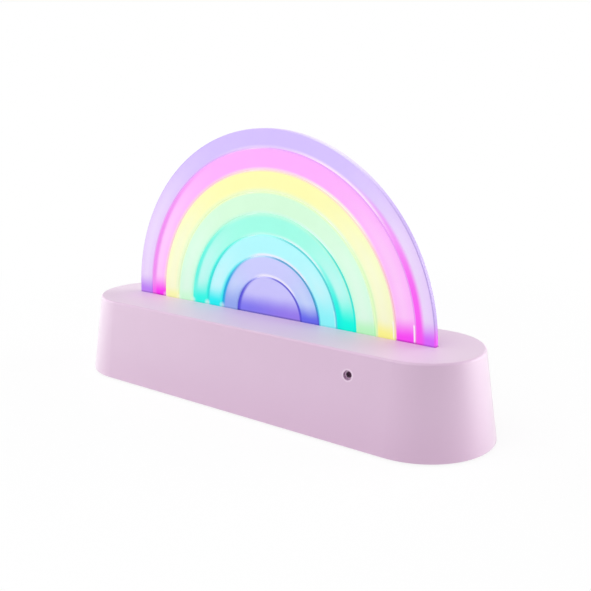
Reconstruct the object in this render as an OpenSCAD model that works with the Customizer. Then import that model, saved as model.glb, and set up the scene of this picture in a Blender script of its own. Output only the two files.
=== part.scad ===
// Rainbow lamp: eight nested light guides stand in the slot of a tapered obround base.
// X runs along the base, Y from its front wall to its back wall, Z up. Z = 0 is the underside of the feet.

/* [Housing] */
// Length of the housing at its foot
base_len = 257.8; // [248:0.2:272]
// Width of the housing at its foot
base_wid = 71.6; // [71:0.1:80]
// Height of the housing from its rim to its deck
body_h = 44.4; // [43:0.2:54]
// How far each wall leans in from foot to deck
lean = 6.6; // [5:0.1:7]
// Thickness of the side wall
wall = 2.2; // [1.8:0.1:2.8]
// Thickness of the deck
deck_t = 2.4; // [2:0.1:3.2]
// Rounding of the deck's outer edge
edge_r = 1.3; // [0.6:0.1:1.8]

/* [Rainbow] */
// Radius of the half disc in the middle
disc_r = 22.2; // [20:0.2:26]
// Width of each inner band
band_pitch = 11.3; // [10.6:0.1:11.8]
// Width of the outermost band
rim_band = 10; // [8.6:0.2:11]
// Thickness of the light guides
guide_t = 3; // [2.6:0.1:4]
// Joint gap between two bands
joint_gap = 0.2; // [0.1:0.05:0.3]
// Bevel along each band's long edges
bevel = 0.35; // [0.2:0.05:0.5]
// How far the arch centre lies below the deck
arch_sink = 1; // [0.4:0.1:1.4]

/* [Light guide clamp] */
// Depth of a leg's shoulder below the deck
shoulder_drop = 4.9; // [4.4:0.1:5.6]
// Length of the tenon under the shoulder
tenon_len = 8.3; // [7.4:0.1:8.8]
// How far a tenon is narrower than its band on each side
tenon_inset = 0.75; // [0.65:0.05:0.95]
// Thickness of each clamp wall in front of and behind the guides
clamp_wall = 3.7; // [3.4:0.1:4.4]
// Length of the solid block at each end of the clamp
clamp_end = 7; // [6.6:0.1:10]
// Diameter of the pegs that hold the legs
peg_d = 2; // [1.6:0.1:2.4]

/* [Base plate] */
// Thickness of the plate
plate_t = 2.4; // [2:0.1:3]
// How far the plate lies inside the rim of the housing
plate_recess = 0.6; // [0.4:0.1:1]
// Diameter of a rubber foot
foot_d = 10; // [8:0.5:12]
// How far a foot stands below the rim of the housing
foot_drop = 1; // [0.8:0.1:1.6]
// Depth of the pocket that a foot sits in
foot_pocket = 0.8; // [0.5:0.1:1]

/* [Battery bay] */
// Diameter of a cell
cell_d = 14.2; // [14:0.1:14.5]
// Length of a cell without its button
cell_len = 49.4; // [48.5:0.1:50]
// Distance between neighbouring cells
cell_pitch = 14.8; // [14.7:0.1:15.2]
// Length of a contact spring when a cell presses on it
spring_len = 5; // [4.4:0.1:6]
// Wall of the battery bay
bay_wall = 1.5; // [1.2:0.1:2]
// Thickness of the battery door
door_t = 1.8; // [1.6:0.1:2.2]

/* [Electronics] */
// Diameter of the sound opening's outer step
mic_step_d = 4.6; // [4:0.1:5]
// Diameter of the sound opening's inner hole
mic_hole_d = 3; // [2.4:0.1:3.4]
// Place of the sound opening along the front wall
mic_x = 70.5; // [66:0.1:74]
// Depth of the sound opening below the deck
mic_drop = 11.2; // [10.4:0.1:12]
// Diameter of the microphone capsule
mic_d = 6; // [5.6:0.1:6.4]
// Diameter of the power button
button_d = 8; // [7:0.2:9]
// How far the power button stands proud of the back wall
button_proud = 0.8; // [0.5:0.1:1]
// Travel of the power button
button_travel = 0.6; // [0.4:0.1:0.8]
// Thickness of the circuit boards
board_t = 1.6; // [1.2:0.1:1.8]
// Height of the control board above the base plate
board_lift = 6.4; // [6:0.1:7.4]

/* [Hidden] */
$fn = 96;

// Small overlap that lets two volumes of one moulding fuse, and lets a cut pass a face
eps = 0.5;
// Play between a piece and the pocket it drops into
play = 0.15;
// Radial play of the button in its guide and of the door's pivots in their sockets
run_fit = 0.06;

// Heights
rim_z = foot_drop;
deck_z = rim_z + body_h;
ceiling_z = deck_z - deck_t;
plate_z = rim_z + plate_recess;
floor_z = plate_z + plate_t;
arch_z = deck_z - arch_sink;
shoulder_z = deck_z - shoulder_drop;
tenon_z = shoulder_z - tenon_len;

// Plan of the housing: two end axes, half_run from the centre, and the walls' distance from the centre line
half_run = (base_len - base_wid) / 2;
foot_half = base_wid / 2;
lean_angle = atan(lean / body_h);
wall_flat = wall / cos(lean_angle);
function outer_half(z) = foot_half - lean * (z - rim_z) / body_h;
function inner_half(z) = outer_half(z) - wall_flat;
function mid_half(z) = outer_half(z) - wall_flat / 2;

// Bands from the outside in, as [inner radius, outer radius]
band_count = 8;
rainbow_r = disc_r + (band_count - 2) * band_pitch + rim_band;
function joint_r(k) = k == 0 ? rainbow_r : rainbow_r - rim_band - (k - 1) * band_pitch;
function band_out(k) = k == 0 ? rainbow_r : joint_r(k) - joint_gap / 2;
function band_in(k) = joint_r(k + 1) + joint_gap / 2;
function leg_mid(k) = (band_out(k) + band_in(k)) / 2;
last_arch = band_count - 2;
disc_out = band_out(band_count - 1);

// Clamp around the legs
slot_play = 0.3;
half_guide = guide_t / 2;
channel_half = half_guide + play;
clamp_half_y = channel_half + clamp_wall;
clamp_half_x = rainbow_r + clamp_end;
clamp_top_z = ceiling_z - slot_play;
led_h = 1.9;
led_gap = 0.8;
clamp_z = tenon_z - led_gap - led_h;
peg_r = peg_d / 2;
peg_z = tenon_z + tenon_len / 2;
peg_socket = 1.6;
screw_sleeve_r = 2.2;
disc_peg_x = disc_out / 2;
disc_led_x = disc_out * 0.6;
end_block_x = rainbow_r + clamp_end / 2;
clamp_screw_x = [-end_block_x, 0, end_block_x];
clamp_screw_end = 2.4;
clamp_pilot_end = 1.5;

// Lugs that hang the clamp from the deck
lug_x = 3 * band_pitch + disc_out + band_pitch * 1.5;
lug_r = 4;
lug_t = 3;
lug_y = clamp_half_y + lug_r;
lug_screw_depth = 6;
lug_boss_r = 2.8;

// LED board under the clamp
led_board_z = clamp_z - board_t;
led_board_half_x = clamp_half_x - 1;
led_size = [3.5, 2.8];
led_screw_y = -(channel_half + clamp_wall / 2);
led_screw_x = [-end_block_x, -joint_r(last_arch), joint_r(last_arch), end_block_x];
led_screw_depth = 4;

// Screws, as [shank radius, head radius, head height]
m26 = [1.25, 2.5, 1.9];
m2 = [0.9, 1.8, 1.3];
pilot_play = 0.05;
pilot_spare = 1;
hole_play = 0.25;

// Plate outline and feet
plate_play = 0.4;
plate_half = inner_half(floor_z) - plate_play;
foot_x = half_run;
foot_inset = 14.5;
foot_y = foot_half - foot_inset;
foot_ring = 1.4;
foot_edge = 0.4;

// Battery bay: cells side by side across Y, their length along X
cells = 3;
cell_r = cell_d / 2;
cell_button = 1.1;
cell_button_r = 2.7;
contact_t = 0.4;
bay_play = 0.4;
bay_half_x = (cell_len + cell_button + spring_len) / 2 + contact_t + bay_play;
bay_half_y = cell_pitch + cell_r + bay_play;
bay_out_x = bay_half_x + bay_wall;
bay_out_y = bay_half_y + bay_wall;
door_z = plate_z;
door_top_z = door_z + door_t;
door_gap = 0.3;
door_rib = 0.7;
cell_z = door_top_z + door_rib + 0.2 + cell_r;
bay_roof_z = cell_z + cell_r + bay_play;
cell_x = -bay_half_x + bay_play + contact_t + spring_len;

// Contact plates, and the two tabs that run out through the wall of the bay
contact_half = 5.5;
contact_tab = [2.4, 3.2, 0.6];
contact_slot = [4, 1.6];
contact_tab_z = bay_roof_z - 3.1;
tab_end_x = bay_out_x + contact_tab[0];

// Contact springs: the coil radius falls from the plate to the cell
spring_wire = 0.35;
spring_turns = 3.5;
spring_base_r = 4.6;
spring_tip_r = 2.4;
spring_steps = 10;
spring_sides = 6;
spring_rise = spring_len - 2 * spring_wire - 0.2;

// Battery door: a bead with a pivot at each end along its front edge, a screw tab at its back edge
pivot_r = 1;
pivot_len = 1.9;
bead_r = 1.65;
pivot_y = -(bay_out_y + bead_r);
pivot_z = plate_z + bead_r;
door_half_x = bay_out_x + 1.2;
rebate_half = door_half_x + door_gap;
door_back_y = bay_out_y + 1;
hinge_wall = 1.2;
hinge_end = 2.8;
tab_half = 6;
tab_t = 3.4;
tab_screw_y = door_back_y + 2.1;
tab_end_y = tab_screw_y + 2.8;
tab_margin = door_gap + 1.2;
tab_top = door_z + tab_t + door_gap;
tab_boss_r = 3.6;
tab_boss_h = 7.6;
door_screw_len = 7;
// The door's screw swings on the pivots, so its hole in the boss is wide
door_screw_swing = 0.65;

// Housing bosses, the screws of the base plate and the pads they sit in
boss_r = 3.2;
boss_root_r = 3.8;
pad_h = 2;
pad_r = 4.4;
plate_screw_len = 11;
end_boss_reach = 15;
end_boss_x = half_run + end_boss_reach;
end_boss_y = clamp_half_y + boss_root_r + 1.5;
side_boss_inset = 12;
side_boss_x = rebate_half + hinge_end + pad_r + 2.25;
side_boss_y = foot_half - side_boss_inset;
plate_screw_at = [
    for (x = [-1, 1])
        for (y = [-1, 1])
            for (at = [[end_boss_x, end_boss_y], [side_boss_x, side_boss_y]]) [x * at[0], y * at[1]]
];
rib_t = 1.2;
rib_h = 2.5;
rib_y = lug_y + lug_r + 2;
// The ribs between the bosses and the wall begin above the plate's pads
web_z = floor_z + pad_h + 3;

// Control board on posts beside the battery bay
board_len = 48;
board_front = 11;
board_back_inset = 9.5;
board_x = [side_boss_x + boss_r + 0.3, side_boss_x + boss_r + 0.3 + board_len];
board_y = [-board_front, foot_half - board_back_inset];
board_z = floor_z + board_lift;
board_top_z = board_z + board_t;
board_post_r = 2.6;
board_inset = 4;
board_screw_depth = 4;
board_post_at = [
    for (x = [board_x[0] + board_inset, board_x[1] - board_inset])
        for (y = [board_y[0] + board_inset, board_y[1] - board_inset - 3]) [x, y]
];

// Places on the board, from its corner at the battery bay's front: chip, capacitor, switch, USB inlet
chip_from = [18.5, 21];
can_from = [39.5, 19];
switch_from = 13.5;
usb_from = 35.5;
chip_at = [board_x[0] + chip_from[0], board_y[0] + chip_from[1]];
can_at = [board_x[0] + can_from[0], board_y[0] + can_from[1]];

// Three board sockets that the wires plug into, as [x, y, number of wires]
socket_from = [[3, 12, 2], [17.5, 8, 3], [31.5, 5, 2]];
socket_at = [for (s = socket_from) [board_x[0] + s[0], board_y[0] + s[1], s[2]]];
socket_pitch = 2;
socket_h = 5.4;
socket_d = 4.6;
socket_wall = 0.9;
socket_floor = 1;

// Power button and its switch at the back edge of the board
switch_size = [6, 4.4, 6.4];
switch_x = board_x[0] + switch_from;
switch_face_y = board_y[1] - 0.5;
button_z = board_top_z + switch_size[2] / 2;
button_r = button_d / 2;
button_face_y = outer_half(button_z) + button_proud;
button_flange_t = 1.1;
button_flange_r = button_r + 1.2;
button_ring = 2;
guide_end_y = inner_half(button_z) - 2.2;
button_stop = 0.1;
plunger_r = 1.7;
plunger_out = 1.3;
plunger_in = 0.8;
plunger_y = switch_face_y + plunger_out;

// USB inlet at the back edge of the board
usb_size = [8.9, 7.4, 3.2];
usb_x = board_x[0] + usb_from;
usb_z = board_top_z + usb_size[2] / 2;
usb_pocket = [13, 7];
usb_wall = 1.6;
usb_pocket_y = outer_half(usb_z) - 1.5;
usb_block_y = usb_pocket_y - 2;
usb_play = 0.25;
usb_depth = 6.2;
usb_skin = 0.3;
usb_tongue = [6.7, 0.7];
usb_mouth_y = usb_pocket_y - 0.2;

// Microphone behind the front wall
mic_z = deck_z - mic_drop;
mic_r = mic_d / 2;
mic_len = 4.6;
mic_wall_y = -inner_half(mic_z);
mic_step_depth = 1.15;
sleeve_t = 1.2;
sleeve_r = mic_r + sleeve_t;
felt_t = 0.4;
felt_r = 2.2;
mic_boss_t = 1.3;
mic_boss_len = 5.6;
mic_boss_r = sleeve_r + play + mic_boss_t;
mic_face_y = mic_wall_y + 0.9;
mic_back_y = mic_face_y + mic_len;
mic_pin_x = 1.3;
mic_pin_len = 1;

// Wires
wire_r = 0.6;
wire_sides = 8;
wire_steps = 4;
wire_gap = 0.1;
wire_foot_z = board_top_z + socket_floor + wire_gap;
wire_tab_x = tab_end_x + wire_gap;
wire_tab_z = contact_tab_z - contact_tab[2] / 2;
wire_mic_y = mic_back_y + mic_pin_len + wire_gap;

// Where wire k, counted from the middle one, ends in socket i, some way above its floor
function pin_at(i, k, up) = [socket_at[i][0] + k * socket_pitch, socket_at[i][1], wire_foot_z + up];

// Routes of the wires, point by point
battery_plus_route = [
    [wire_tab_x, cell_pitch, wire_tab_z], [36, 14, 16.5], [40, 10, 19], [44, 5, 21],
    pin_at(0, -0.5, 7) + [0, 1, 0], pin_at(0, -0.5, 4), pin_at(0, -0.5, 0)
];
battery_minus_route = [
    [wire_tab_x, -cell_pitch, wire_tab_z], [36, -14, 16.5], [40, -9, 19], [44.5, -3, 21.5],
    pin_at(0, 0.5, 7.5) - [0, 1, 0], pin_at(0, 0.5, 4), pin_at(0, 0.5, 0)
];
function led_route(k) = [
    [socket_at[1][0] + k * socket_pitch, -2, led_board_z - wire_gap],
    [socket_at[1][0] + k * socket_pitch, -2, led_board_z - 2.5],
    pin_at(1, k, 5), pin_at(1, k, 0)
];
mic_plus_route = [
    [mic_x + mic_pin_x, wire_mic_y, mic_z], [mic_x + mic_pin_x, wire_mic_y + 3, mic_z - 1], [73, -17, 27],
    [75.5, -10, 22], pin_at(2, 0.5, 6), pin_at(2, 0.5, 0)
];
mic_minus_route = [
    [mic_x - mic_pin_x, wire_mic_y, mic_z], [mic_x - mic_pin_x, wire_mic_y + 3, mic_z - 1], [70.5, -17, 27],
    [73, -10, 22], pin_at(2, -0.5, 6), pin_at(2, -0.5, 0)
];

// Obround solid. The children are its half section: x is the distance from the centre line, y the height.
module obround_sweep() {
    for (side = [0, 1])
        mirror([side, 0, 0])
            translate([half_run, 0, 0])
                rotate([0, 0, -90])
                    rotate_extrude(angle = 180)
                        children();
    rotate([90, 0, 90])
        translate([0, 0, -half_run])
            linear_extrude(height = 2 * half_run) {
                children();
                mirror([1, 0, 0])
                    children();
            }
}

// Half section of the housing's outer form, with the deck's edge rounded between wall and deck
module outer_section() {
    reach = edge_r / tan(45 + lean_angle / 2);
    top_half = outer_half(deck_z);
    centre = [top_half - reach, deck_z - edge_r];
    polygon([
        [0, rim_z],
        [foot_half, rim_z],
        [top_half + reach * sin(lean_angle), deck_z - reach * cos(lean_angle)],
        centre,
        [centre[0], deck_z],
        [0, deck_z]
    ]);
    intersection() {
        translate(centre)
            circle(r = edge_r);
        translate(centre)
            polygon([[0, 0], [2 * edge_r * cos(lean_angle), 2 * edge_r * sin(lean_angle)],
                [2 * edge_r, 2 * edge_r], [0, 2 * edge_r]]);
    }
}

// Half section of the hollow inside the housing
module hollow_section() {
    polygon([
        [0, rim_z - eps],
        [inner_half(rim_z - eps), rim_z - eps],
        [inner_half(ceiling_z), ceiling_z],
        [0, ceiling_z]
    ]);
}

// Half section of the form whose skin lies in the middle of the wall and of the deck
module core_section() {
    polygon([
        [0, rim_z],
        [mid_half(rim_z), rim_z],
        [mid_half(deck_z - deck_t / 2), deck_z - deck_t / 2],
        [0, deck_z - deck_t / 2]
    ]);
}

// Cylinder along Y from y0 to y1
module rod_y(r, x, z, y0, y1) {
    translate([x, y0, z])
        rotate([-90, 0, 0])
            cylinder(r = r, h = y1 - y0);
}

// Pan head screw standing up from its head's underside at the origin
module screw_up(kind, len) {
    cylinder(r = kind[0], h = len);
    translate([0, 0, -kind[2]])
        difference() {
            cylinder(r = kind[1], h = kind[2]);
            for (turn = [0, 90])
                rotate([0, 0, turn])
                    translate([-kind[1] * 0.55, -kind[1] * 0.12, -eps])
                        cube([kind[1] * 1.1, kind[1] * 0.24, kind[2] * 0.5 + eps]);
        }
}

// Bosses, ribs and seats inside the housing. They run on into the wall, whose core form trims them.
module housing_bosses() {
    for (at = plate_screw_at)
        translate([at[0], at[1], floor_z + pad_h])
            cylinder(r1 = boss_r, r2 = boss_root_r, h = ceiling_z + eps - floor_z - pad_h);
    for (at = plate_screw_at)
        mirror([0, at[1] < 0 ? 1 : 0, 0])
            translate([at[0] - rib_t / 2, abs(at[1]), web_z])
                cube([rib_t, foot_half - abs(at[1]), deck_z - web_z]);
    for (x = [-lug_x, lug_x])
        for (y = [-lug_y, lug_y])
            translate([x, y, clamp_z + lug_t])
                cylinder(r1 = lug_boss_r, r2 = boss_r, h = ceiling_z + eps - clamp_z - lug_t);
    for (y = [-rib_y, rib_y])
        translate([-half_run, y - rib_t / 2, ceiling_z - rib_h])
            cube([2 * half_run, rib_t, rib_h + eps]);
    rod_y(mic_boss_r, mic_x, mic_z, -foot_half, mic_wall_y + mic_boss_len);
    rod_y(button_r + button_ring, switch_x, button_z, guide_end_y, foot_half);
    translate([usb_x - usb_pocket[0] / 2 - usb_wall, usb_block_y, usb_z - usb_pocket[1] / 2 - usb_wall])
        cube([usb_pocket[0] + 2 * usb_wall, foot_half - usb_block_y, usb_pocket[1] + 2 * usb_wall]);
}

module housing_pilots() {
    for (at = plate_screw_at)
        translate([at[0], at[1], floor_z + pad_h - eps])
            cylinder(r = m26[0] + pilot_play, h = plate_screw_len + eps);
    for (x = [-lug_x, lug_x])
        for (y = [-lug_y, lug_y])
            translate([x, y, clamp_z + lug_t - eps])
                cylinder(r = m2[0] + pilot_play, h = lug_screw_depth + pilot_spare + eps);
}

module housing() {
    color("#dcc0dc")
        difference() {
            union() {
                obround_sweep()
                    difference() {
                        outer_section();
                        hollow_section();
                    }
                intersection() {
                    housing_bosses();
                    obround_sweep()
                        core_section();
                }
            }
            housing_pilots();
            translate([-rainbow_r - slot_play, -half_guide - slot_play, ceiling_z - eps])
                cube([2 * (rainbow_r + slot_play), guide_t + 2 * slot_play, deck_t + 2 * eps]);
            rod_y(mic_step_d / 2, mic_x, mic_z, -foot_half - eps, -outer_half(mic_z) + mic_step_depth);
            rod_y(mic_hole_d / 2, mic_x, mic_z, -foot_half - eps, mic_wall_y + eps);
            rod_y(sleeve_r + play, mic_x, mic_z, mic_wall_y, mic_wall_y + mic_boss_len + eps);
            rod_y(button_r + run_fit, switch_x, button_z, guide_end_y - eps, foot_half + eps);
            translate([usb_x - usb_pocket[0] / 2, usb_pocket_y, usb_z - usb_pocket[1] / 2])
                cube([usb_pocket[0], foot_half, usb_pocket[1]]);
            usb_shell(usb_play, usb_block_y - eps, usb_pocket_y + eps);
        }
}

// Obround bar along Y with the outline of the USB shell, grown by more
module usb_shell(more, y0, y1) {
    r = usb_size[2] / 2 + more;
    reach = usb_size[0] / 2 - usb_size[2] / 2;
    for (x = [-reach, reach])
        rod_y(r, usb_x + x, usb_z, y0, y1);
    translate([usb_x - reach, y0, usb_z - r])
        cube([2 * reach, y1 - y0, 2 * r]);
}

module plate_outline(half) {
    translate([-half_run, -half])
        square([2 * half_run, 2 * half]);
    for (x = [-half_run, half_run])
        translate([x, 0])
            circle(r = half);
}

// Block above the plate that covers the door's bead and holds its pivots
module hinge_cover() {
    reach = bead_r + door_gap + hinge_wall;
    half = rebate_half + hinge_end;
    translate([-half, pivot_y - reach, floor_z - eps])
        cube([2 * half, -bay_half_y - pivot_y + reach, pivot_z + reach - floor_z + eps]);
}

// Raised curb around the rebate that the door lies in
module door_curb() {
    margin = door_gap + hinge_wall;
    translate([-door_half_x - margin, -bay_out_y, floor_z - eps])
        cube([2 * (door_half_x + margin), door_back_y + margin + bay_out_y,
            door_top_z + margin - floor_z + eps]);
}

module base_plate() {
    color("#d8bcd8")
        difference() {
            union() {
                translate([0, 0, plate_z])
                    linear_extrude(height = plate_t)
                        plate_outline(plate_half);
                for (at = plate_screw_at)
                    translate([at[0], at[1], floor_z - eps])
                        cylinder(r = pad_r, h = pad_h + eps);
                translate([-bay_out_x, -bay_out_y, floor_z - eps])
                    cube([2 * bay_out_x, 2 * bay_out_y, bay_roof_z + bay_wall - floor_z + eps]);
                hinge_cover();
                door_curb();
                translate([0, tab_screw_y, tab_top])
                    cylinder(r = tab_boss_r, h = tab_boss_h);
                translate([-tab_half - tab_margin, bay_out_y - eps, floor_z - eps])
                    cube([2 * (tab_half + tab_margin), tab_end_y + tab_margin - bay_out_y + eps,
                        tab_top + tab_margin - door_gap - floor_z + eps]);
                for (at = board_post_at)
                    translate([at[0], at[1], floor_z - eps])
                        cylinder(r1 = board_post_r + 0.5, r2 = board_post_r, h = board_lift + eps);
                for (x = [-foot_x, foot_x])
                    for (y = [-foot_y, foot_y])
                        translate([x, y, floor_z - eps])
                            cylinder(r = foot_d / 2 + foot_ring, h = foot_pocket + eps);
            }
            for (at = plate_screw_at) {
                translate([at[0], at[1], plate_z - eps])
                    cylinder(r = m26[1] + hole_play, h = m26[2] + 0.5 + eps);
                translate([at[0], at[1], plate_z])
                    cylinder(r = m26[0] + hole_play, h = plate_t + pad_h + eps);
            }
            translate([-bay_half_x, -bay_half_y, plate_z - eps])
                cube([2 * bay_half_x, 2 * bay_half_y, bay_roof_z - plate_z + eps]);
            // rebate that the door lies in, the channel for its bead and the recess for its tab
            translate([-rebate_half, pivot_y, plate_z - eps])
                cube([2 * rebate_half, door_back_y - pivot_y + door_gap, door_t + door_gap + eps]);
            translate([-rebate_half, pivot_y - bead_r - door_gap, plate_z - eps])
                cube([2 * rebate_half, 2 * (bead_r + door_gap), 2 * bead_r + door_gap + eps]);
            translate([-rebate_half - pivot_len, pivot_y, pivot_z])
                rotate([0, 90, 0])
                    cylinder(r = pivot_r + run_fit, h = 2 * (rebate_half + pivot_len));
            translate([-tab_half - door_gap, bay_out_y - eps, plate_z - eps])
                cube([2 * (tab_half + door_gap), tab_end_y + door_gap - bay_out_y + eps,
                    tab_top - plate_z + eps]);
            translate([0, tab_screw_y, plate_z])
                cylinder(r = m2[0] + door_screw_swing, h = tab_t + door_gap + tab_boss_h - 1);
            for (at = board_post_at)
                translate([at[0], at[1], board_z - board_screw_depth - pilot_spare])
                    cylinder(r = m2[0] + pilot_play, h = board_screw_depth + pilot_spare + eps);
            for (x = [-foot_x, foot_x])
                for (y = [-foot_y, foot_y])
                    translate([x, y, plate_z - eps])
                        cylinder(r = foot_d / 2 + play, h = foot_pocket + eps);
            for (y = [-cell_pitch, cell_pitch])
                translate([bay_half_x - eps, y - contact_slot[0] / 2,
                        contact_tab_z - (contact_tab[2] + contact_slot[1]) / 2])
                    cube([bay_wall + 2 * eps, contact_slot[0], contact_slot[1]]);
        }
}

// Band section: x from r_in to r_out, y through the thickness, with the four long edges bevelled
module band_section(r_in, r_out) {
    polygon([
        [r_in + bevel, -half_guide],
        [r_out - bevel, -half_guide],
        [r_out, -half_guide + bevel],
        [r_out, half_guide - bevel],
        [r_out - bevel, half_guide],
        [r_in + bevel, half_guide],
        [r_in, half_guide - bevel],
        [r_in, -half_guide + bevel]
    ]);
}

module tenon(x_mid, width) {
    translate([x_mid - width / 2 + tenon_inset, -half_guide, tenon_z])
        cube([width - 2 * tenon_inset, guide_t, tenon_len + eps]);
}

module peg_hole(x) {
    rod_y(peg_r + play, x, peg_z, -half_guide - eps, half_guide + eps);
}

// One arch: half a ring about Y, two straight legs down to their shoulders, and a pinned tenon under each leg
module arch(k) {
    width = band_out(k) - band_in(k);
    difference() {
        union() {
            translate([0, 0, arch_z])
                rotate([90, 0, 0])
                    rotate_extrude(angle = 180)
                        band_section(band_in(k), band_out(k));
            for (side = [0, 1])
                mirror([side, 0, 0]) {
                    translate([0, 0, shoulder_z])
                        linear_extrude(height = arch_z - shoulder_z)
                            band_section(band_in(k), band_out(k));
                    tenon(leg_mid(k), width);
                }
        }
        for (x = [-leg_mid(k), leg_mid(k)])
            peg_hole(x);
    }
}

module arch_lavender() {
    color("#d9c8fb")
        arch(0);
}

module arch_pink() {
    color("#fcc0fb")
        arch(1);
}

module arch_yellow() {
    color("#fbfcc4")
        arch(2);
}

module arch_lime() {
    color("#d4fbdc")
        arch(3);
}

module arch_aqua() {
    color("#a4fbe6")
        arch(4);
}

module arch_cyan() {
    color("#a8f8fc")
        arch(5);
}

module arch_periwinkle() {
    color("#bccffb")
        arch(6);
}

module half_disc_violet() {
    color("#a49cf8")
        difference() {
            union() {
                translate([0, 0, arch_z])
                    rotate([90, 0, 0])
                        rotate_extrude(angle = 180)
                            polygon([
                                [0, -half_guide],
                                [disc_out - bevel, -half_guide],
                                [disc_out, -half_guide + bevel],
                                [disc_out, half_guide - bevel],
                                [disc_out - bevel, half_guide],
                                [0, half_guide]
                            ]);
                translate([0, 0, shoulder_z])
                    linear_extrude(height = arch_z - shoulder_z)
                        band_section(-disc_out, disc_out);
                tenon(0, 2 * disc_out);
            }
            for (x = [-disc_peg_x, disc_peg_x])
                peg_hole(x);
            rod_y(screw_sleeve_r + play, 0, peg_z, -half_guide - eps, half_guide + eps);
        }
}

// Where the legs' pegs stand
function peg_places() = concat(
    [-disc_peg_x, disc_peg_x],
    [for (k = [0 : last_arch]) leg_mid(k)],
    [for (k = [0 : last_arch]) -leg_mid(k)]
);

// Pockets for the tenons, the wide channel above them, and the tunnel that the light comes up through
module clamp_pockets() {
    for (k = [0 : last_arch])
        for (side = [-1, 1])
            translate([side * leg_mid(k) - (band_out(k) - band_in(k)) / 2 + tenon_inset - play,
                    -channel_half, clamp_z - eps])
                cube([band_out(k) - band_in(k) - 2 * tenon_inset + 2 * play, 2 * channel_half,
                    shoulder_z - clamp_z + eps]);
    translate([-disc_out + tenon_inset - play, -channel_half, clamp_z - eps])
        cube([2 * (disc_out - tenon_inset + play), 2 * channel_half, shoulder_z - clamp_z + eps]);
    translate([-rainbow_r - play, -channel_half, shoulder_z])
        cube([2 * (rainbow_r + play), 2 * channel_half, clamp_top_z - shoulder_z + eps]);
}

// Half of the clamp behind the split plane, with its two lugs
module clamp_half_body() {
    translate([-clamp_half_x, 0, clamp_z])
        cube([2 * clamp_half_x, clamp_half_y, clamp_top_z - clamp_z]);
    for (x = [-lug_x, lug_x]) {
        translate([x, lug_y, clamp_z])
            cylinder(r = lug_r, h = lug_t);
        translate([x - lug_r, clamp_half_y - eps, clamp_z])
            cube([2 * lug_r, lug_y - clamp_half_y + eps, lug_t]);
    }
}

module clamp_lug_holes() {
    for (x = [-lug_x, lug_x])
        translate([x, lug_y, clamp_z - eps])
            cylinder(r = m2[0] + hole_play, h = lug_t + 2 * eps);
}

module guide_clamp_front() {
    color("#f4f2ee")
        difference() {
            union() {
                difference() {
                    mirror([0, 1, 0])
                        clamp_half_body();
                    clamp_pockets();
                }
                for (x = peg_places())
                    rod_y(peg_r, x, peg_z, -channel_half - eps, channel_half + peg_socket - play);
                rod_y(screw_sleeve_r, 0, peg_z, -channel_half - eps, 0);
            }
            mirror([0, 1, 0])
                clamp_lug_holes();
            for (x = clamp_screw_x)
                rod_y(m2[0] + hole_play, x, peg_z, -clamp_half_y - eps, eps);
            for (x = led_screw_x)
                translate([x, led_screw_y, clamp_z - eps])
                    cylinder(r = m2[0] + pilot_play, h = led_screw_depth + pilot_spare + eps);
        }
}

module guide_clamp_rear() {
    color("#f4f2ee")
        difference() {
            union() {
                difference() {
                    clamp_half_body();
                    clamp_pockets();
                }
                rod_y(screw_sleeve_r, 0, peg_z, 0, channel_half + eps);
            }
            clamp_lug_holes();
            for (x = peg_places())
                rod_y(peg_r + play, x, peg_z, 0, channel_half + peg_socket);
            for (x = clamp_screw_x)
                rod_y(m2[0] + pilot_play, x, peg_z, -eps, clamp_half_y - clamp_pilot_end);
        }
}

module clamp_screws() {
    color("silver")
        for (x = clamp_screw_x)
            translate([x, -clamp_half_y, peg_z])
                rotate([-90, 0, 0])
                    screw_up(m2, 2 * clamp_half_y - clamp_screw_end);
}

module clamp_mount_screws() {
    color("silver")
        for (x = [-lug_x, lug_x])
            for (y = [-lug_y, lug_y])
                translate([x, y, clamp_z])
                    screw_up(m2, lug_t + lug_screw_depth);
}

module led_board() {
    color("#f2f4f0")
        difference() {
            translate([-led_board_half_x, -clamp_half_y, led_board_z])
                cube([2 * led_board_half_x, 2 * clamp_half_y, board_t]);
            for (x = led_screw_x)
                translate([x, led_screw_y, led_board_z - eps])
                    cylinder(r = m2[0] + hole_play, h = board_t + 2 * eps);
        }
}

// One light source under each leg, and three under the half disc
module led(x) {
    translate([x - led_size[0] / 2, -led_size[1] / 2, clamp_z])
        difference() {
            cube([led_size[0], led_size[1], led_h]);
            translate([led_size[0] / 2, led_size[1] / 2, led_h - 0.4])
                cylinder(r = led_size[1] * 0.4, h = 1);
        }
}

module leds() {
    color("#fffbe8") {
        for (k = [0 : last_arch])
            for (side = [-1, 1])
                led(side * leg_mid(k));
        for (x = [-disc_led_x, 0, disc_led_x])
            led(x);
    }
}

module led_board_screws() {
    color("silver")
        for (x = led_screw_x)
            translate([x, led_screw_y, led_board_z])
                screw_up(m2, board_t + led_screw_depth);
}

module control_board() {
    color("#2f7a4a")
        difference() {
            translate([board_x[0], board_y[0], board_z])
                cube([board_x[1] - board_x[0], board_y[1] - board_y[0], board_t]);
            for (at = board_post_at)
                translate([at[0], at[1], board_z - eps])
                    cylinder(r = m2[0] + hole_play, h = board_t + 2 * eps);
        }
}

module control_chip() {
    chip = [10, 4, 1.6];
    legs = 8;
    leg_pitch = 1.27;
    leg = [0.4, 1.1, 0.3];
    color("#26262a") {
        translate([chip_at[0], chip_at[1], board_top_z + 0.1])
            cube(chip);
        for (i = [0 : legs - 1])
            for (y = [-1, chip[1] - 0.1])
                translate([chip_at[0] + (chip[0] - leg[0]) / 2 + (i - (legs - 1) / 2) * leg_pitch,
                        chip_at[1] + y, board_top_z])
                    cube(leg);
    }
}

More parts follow.
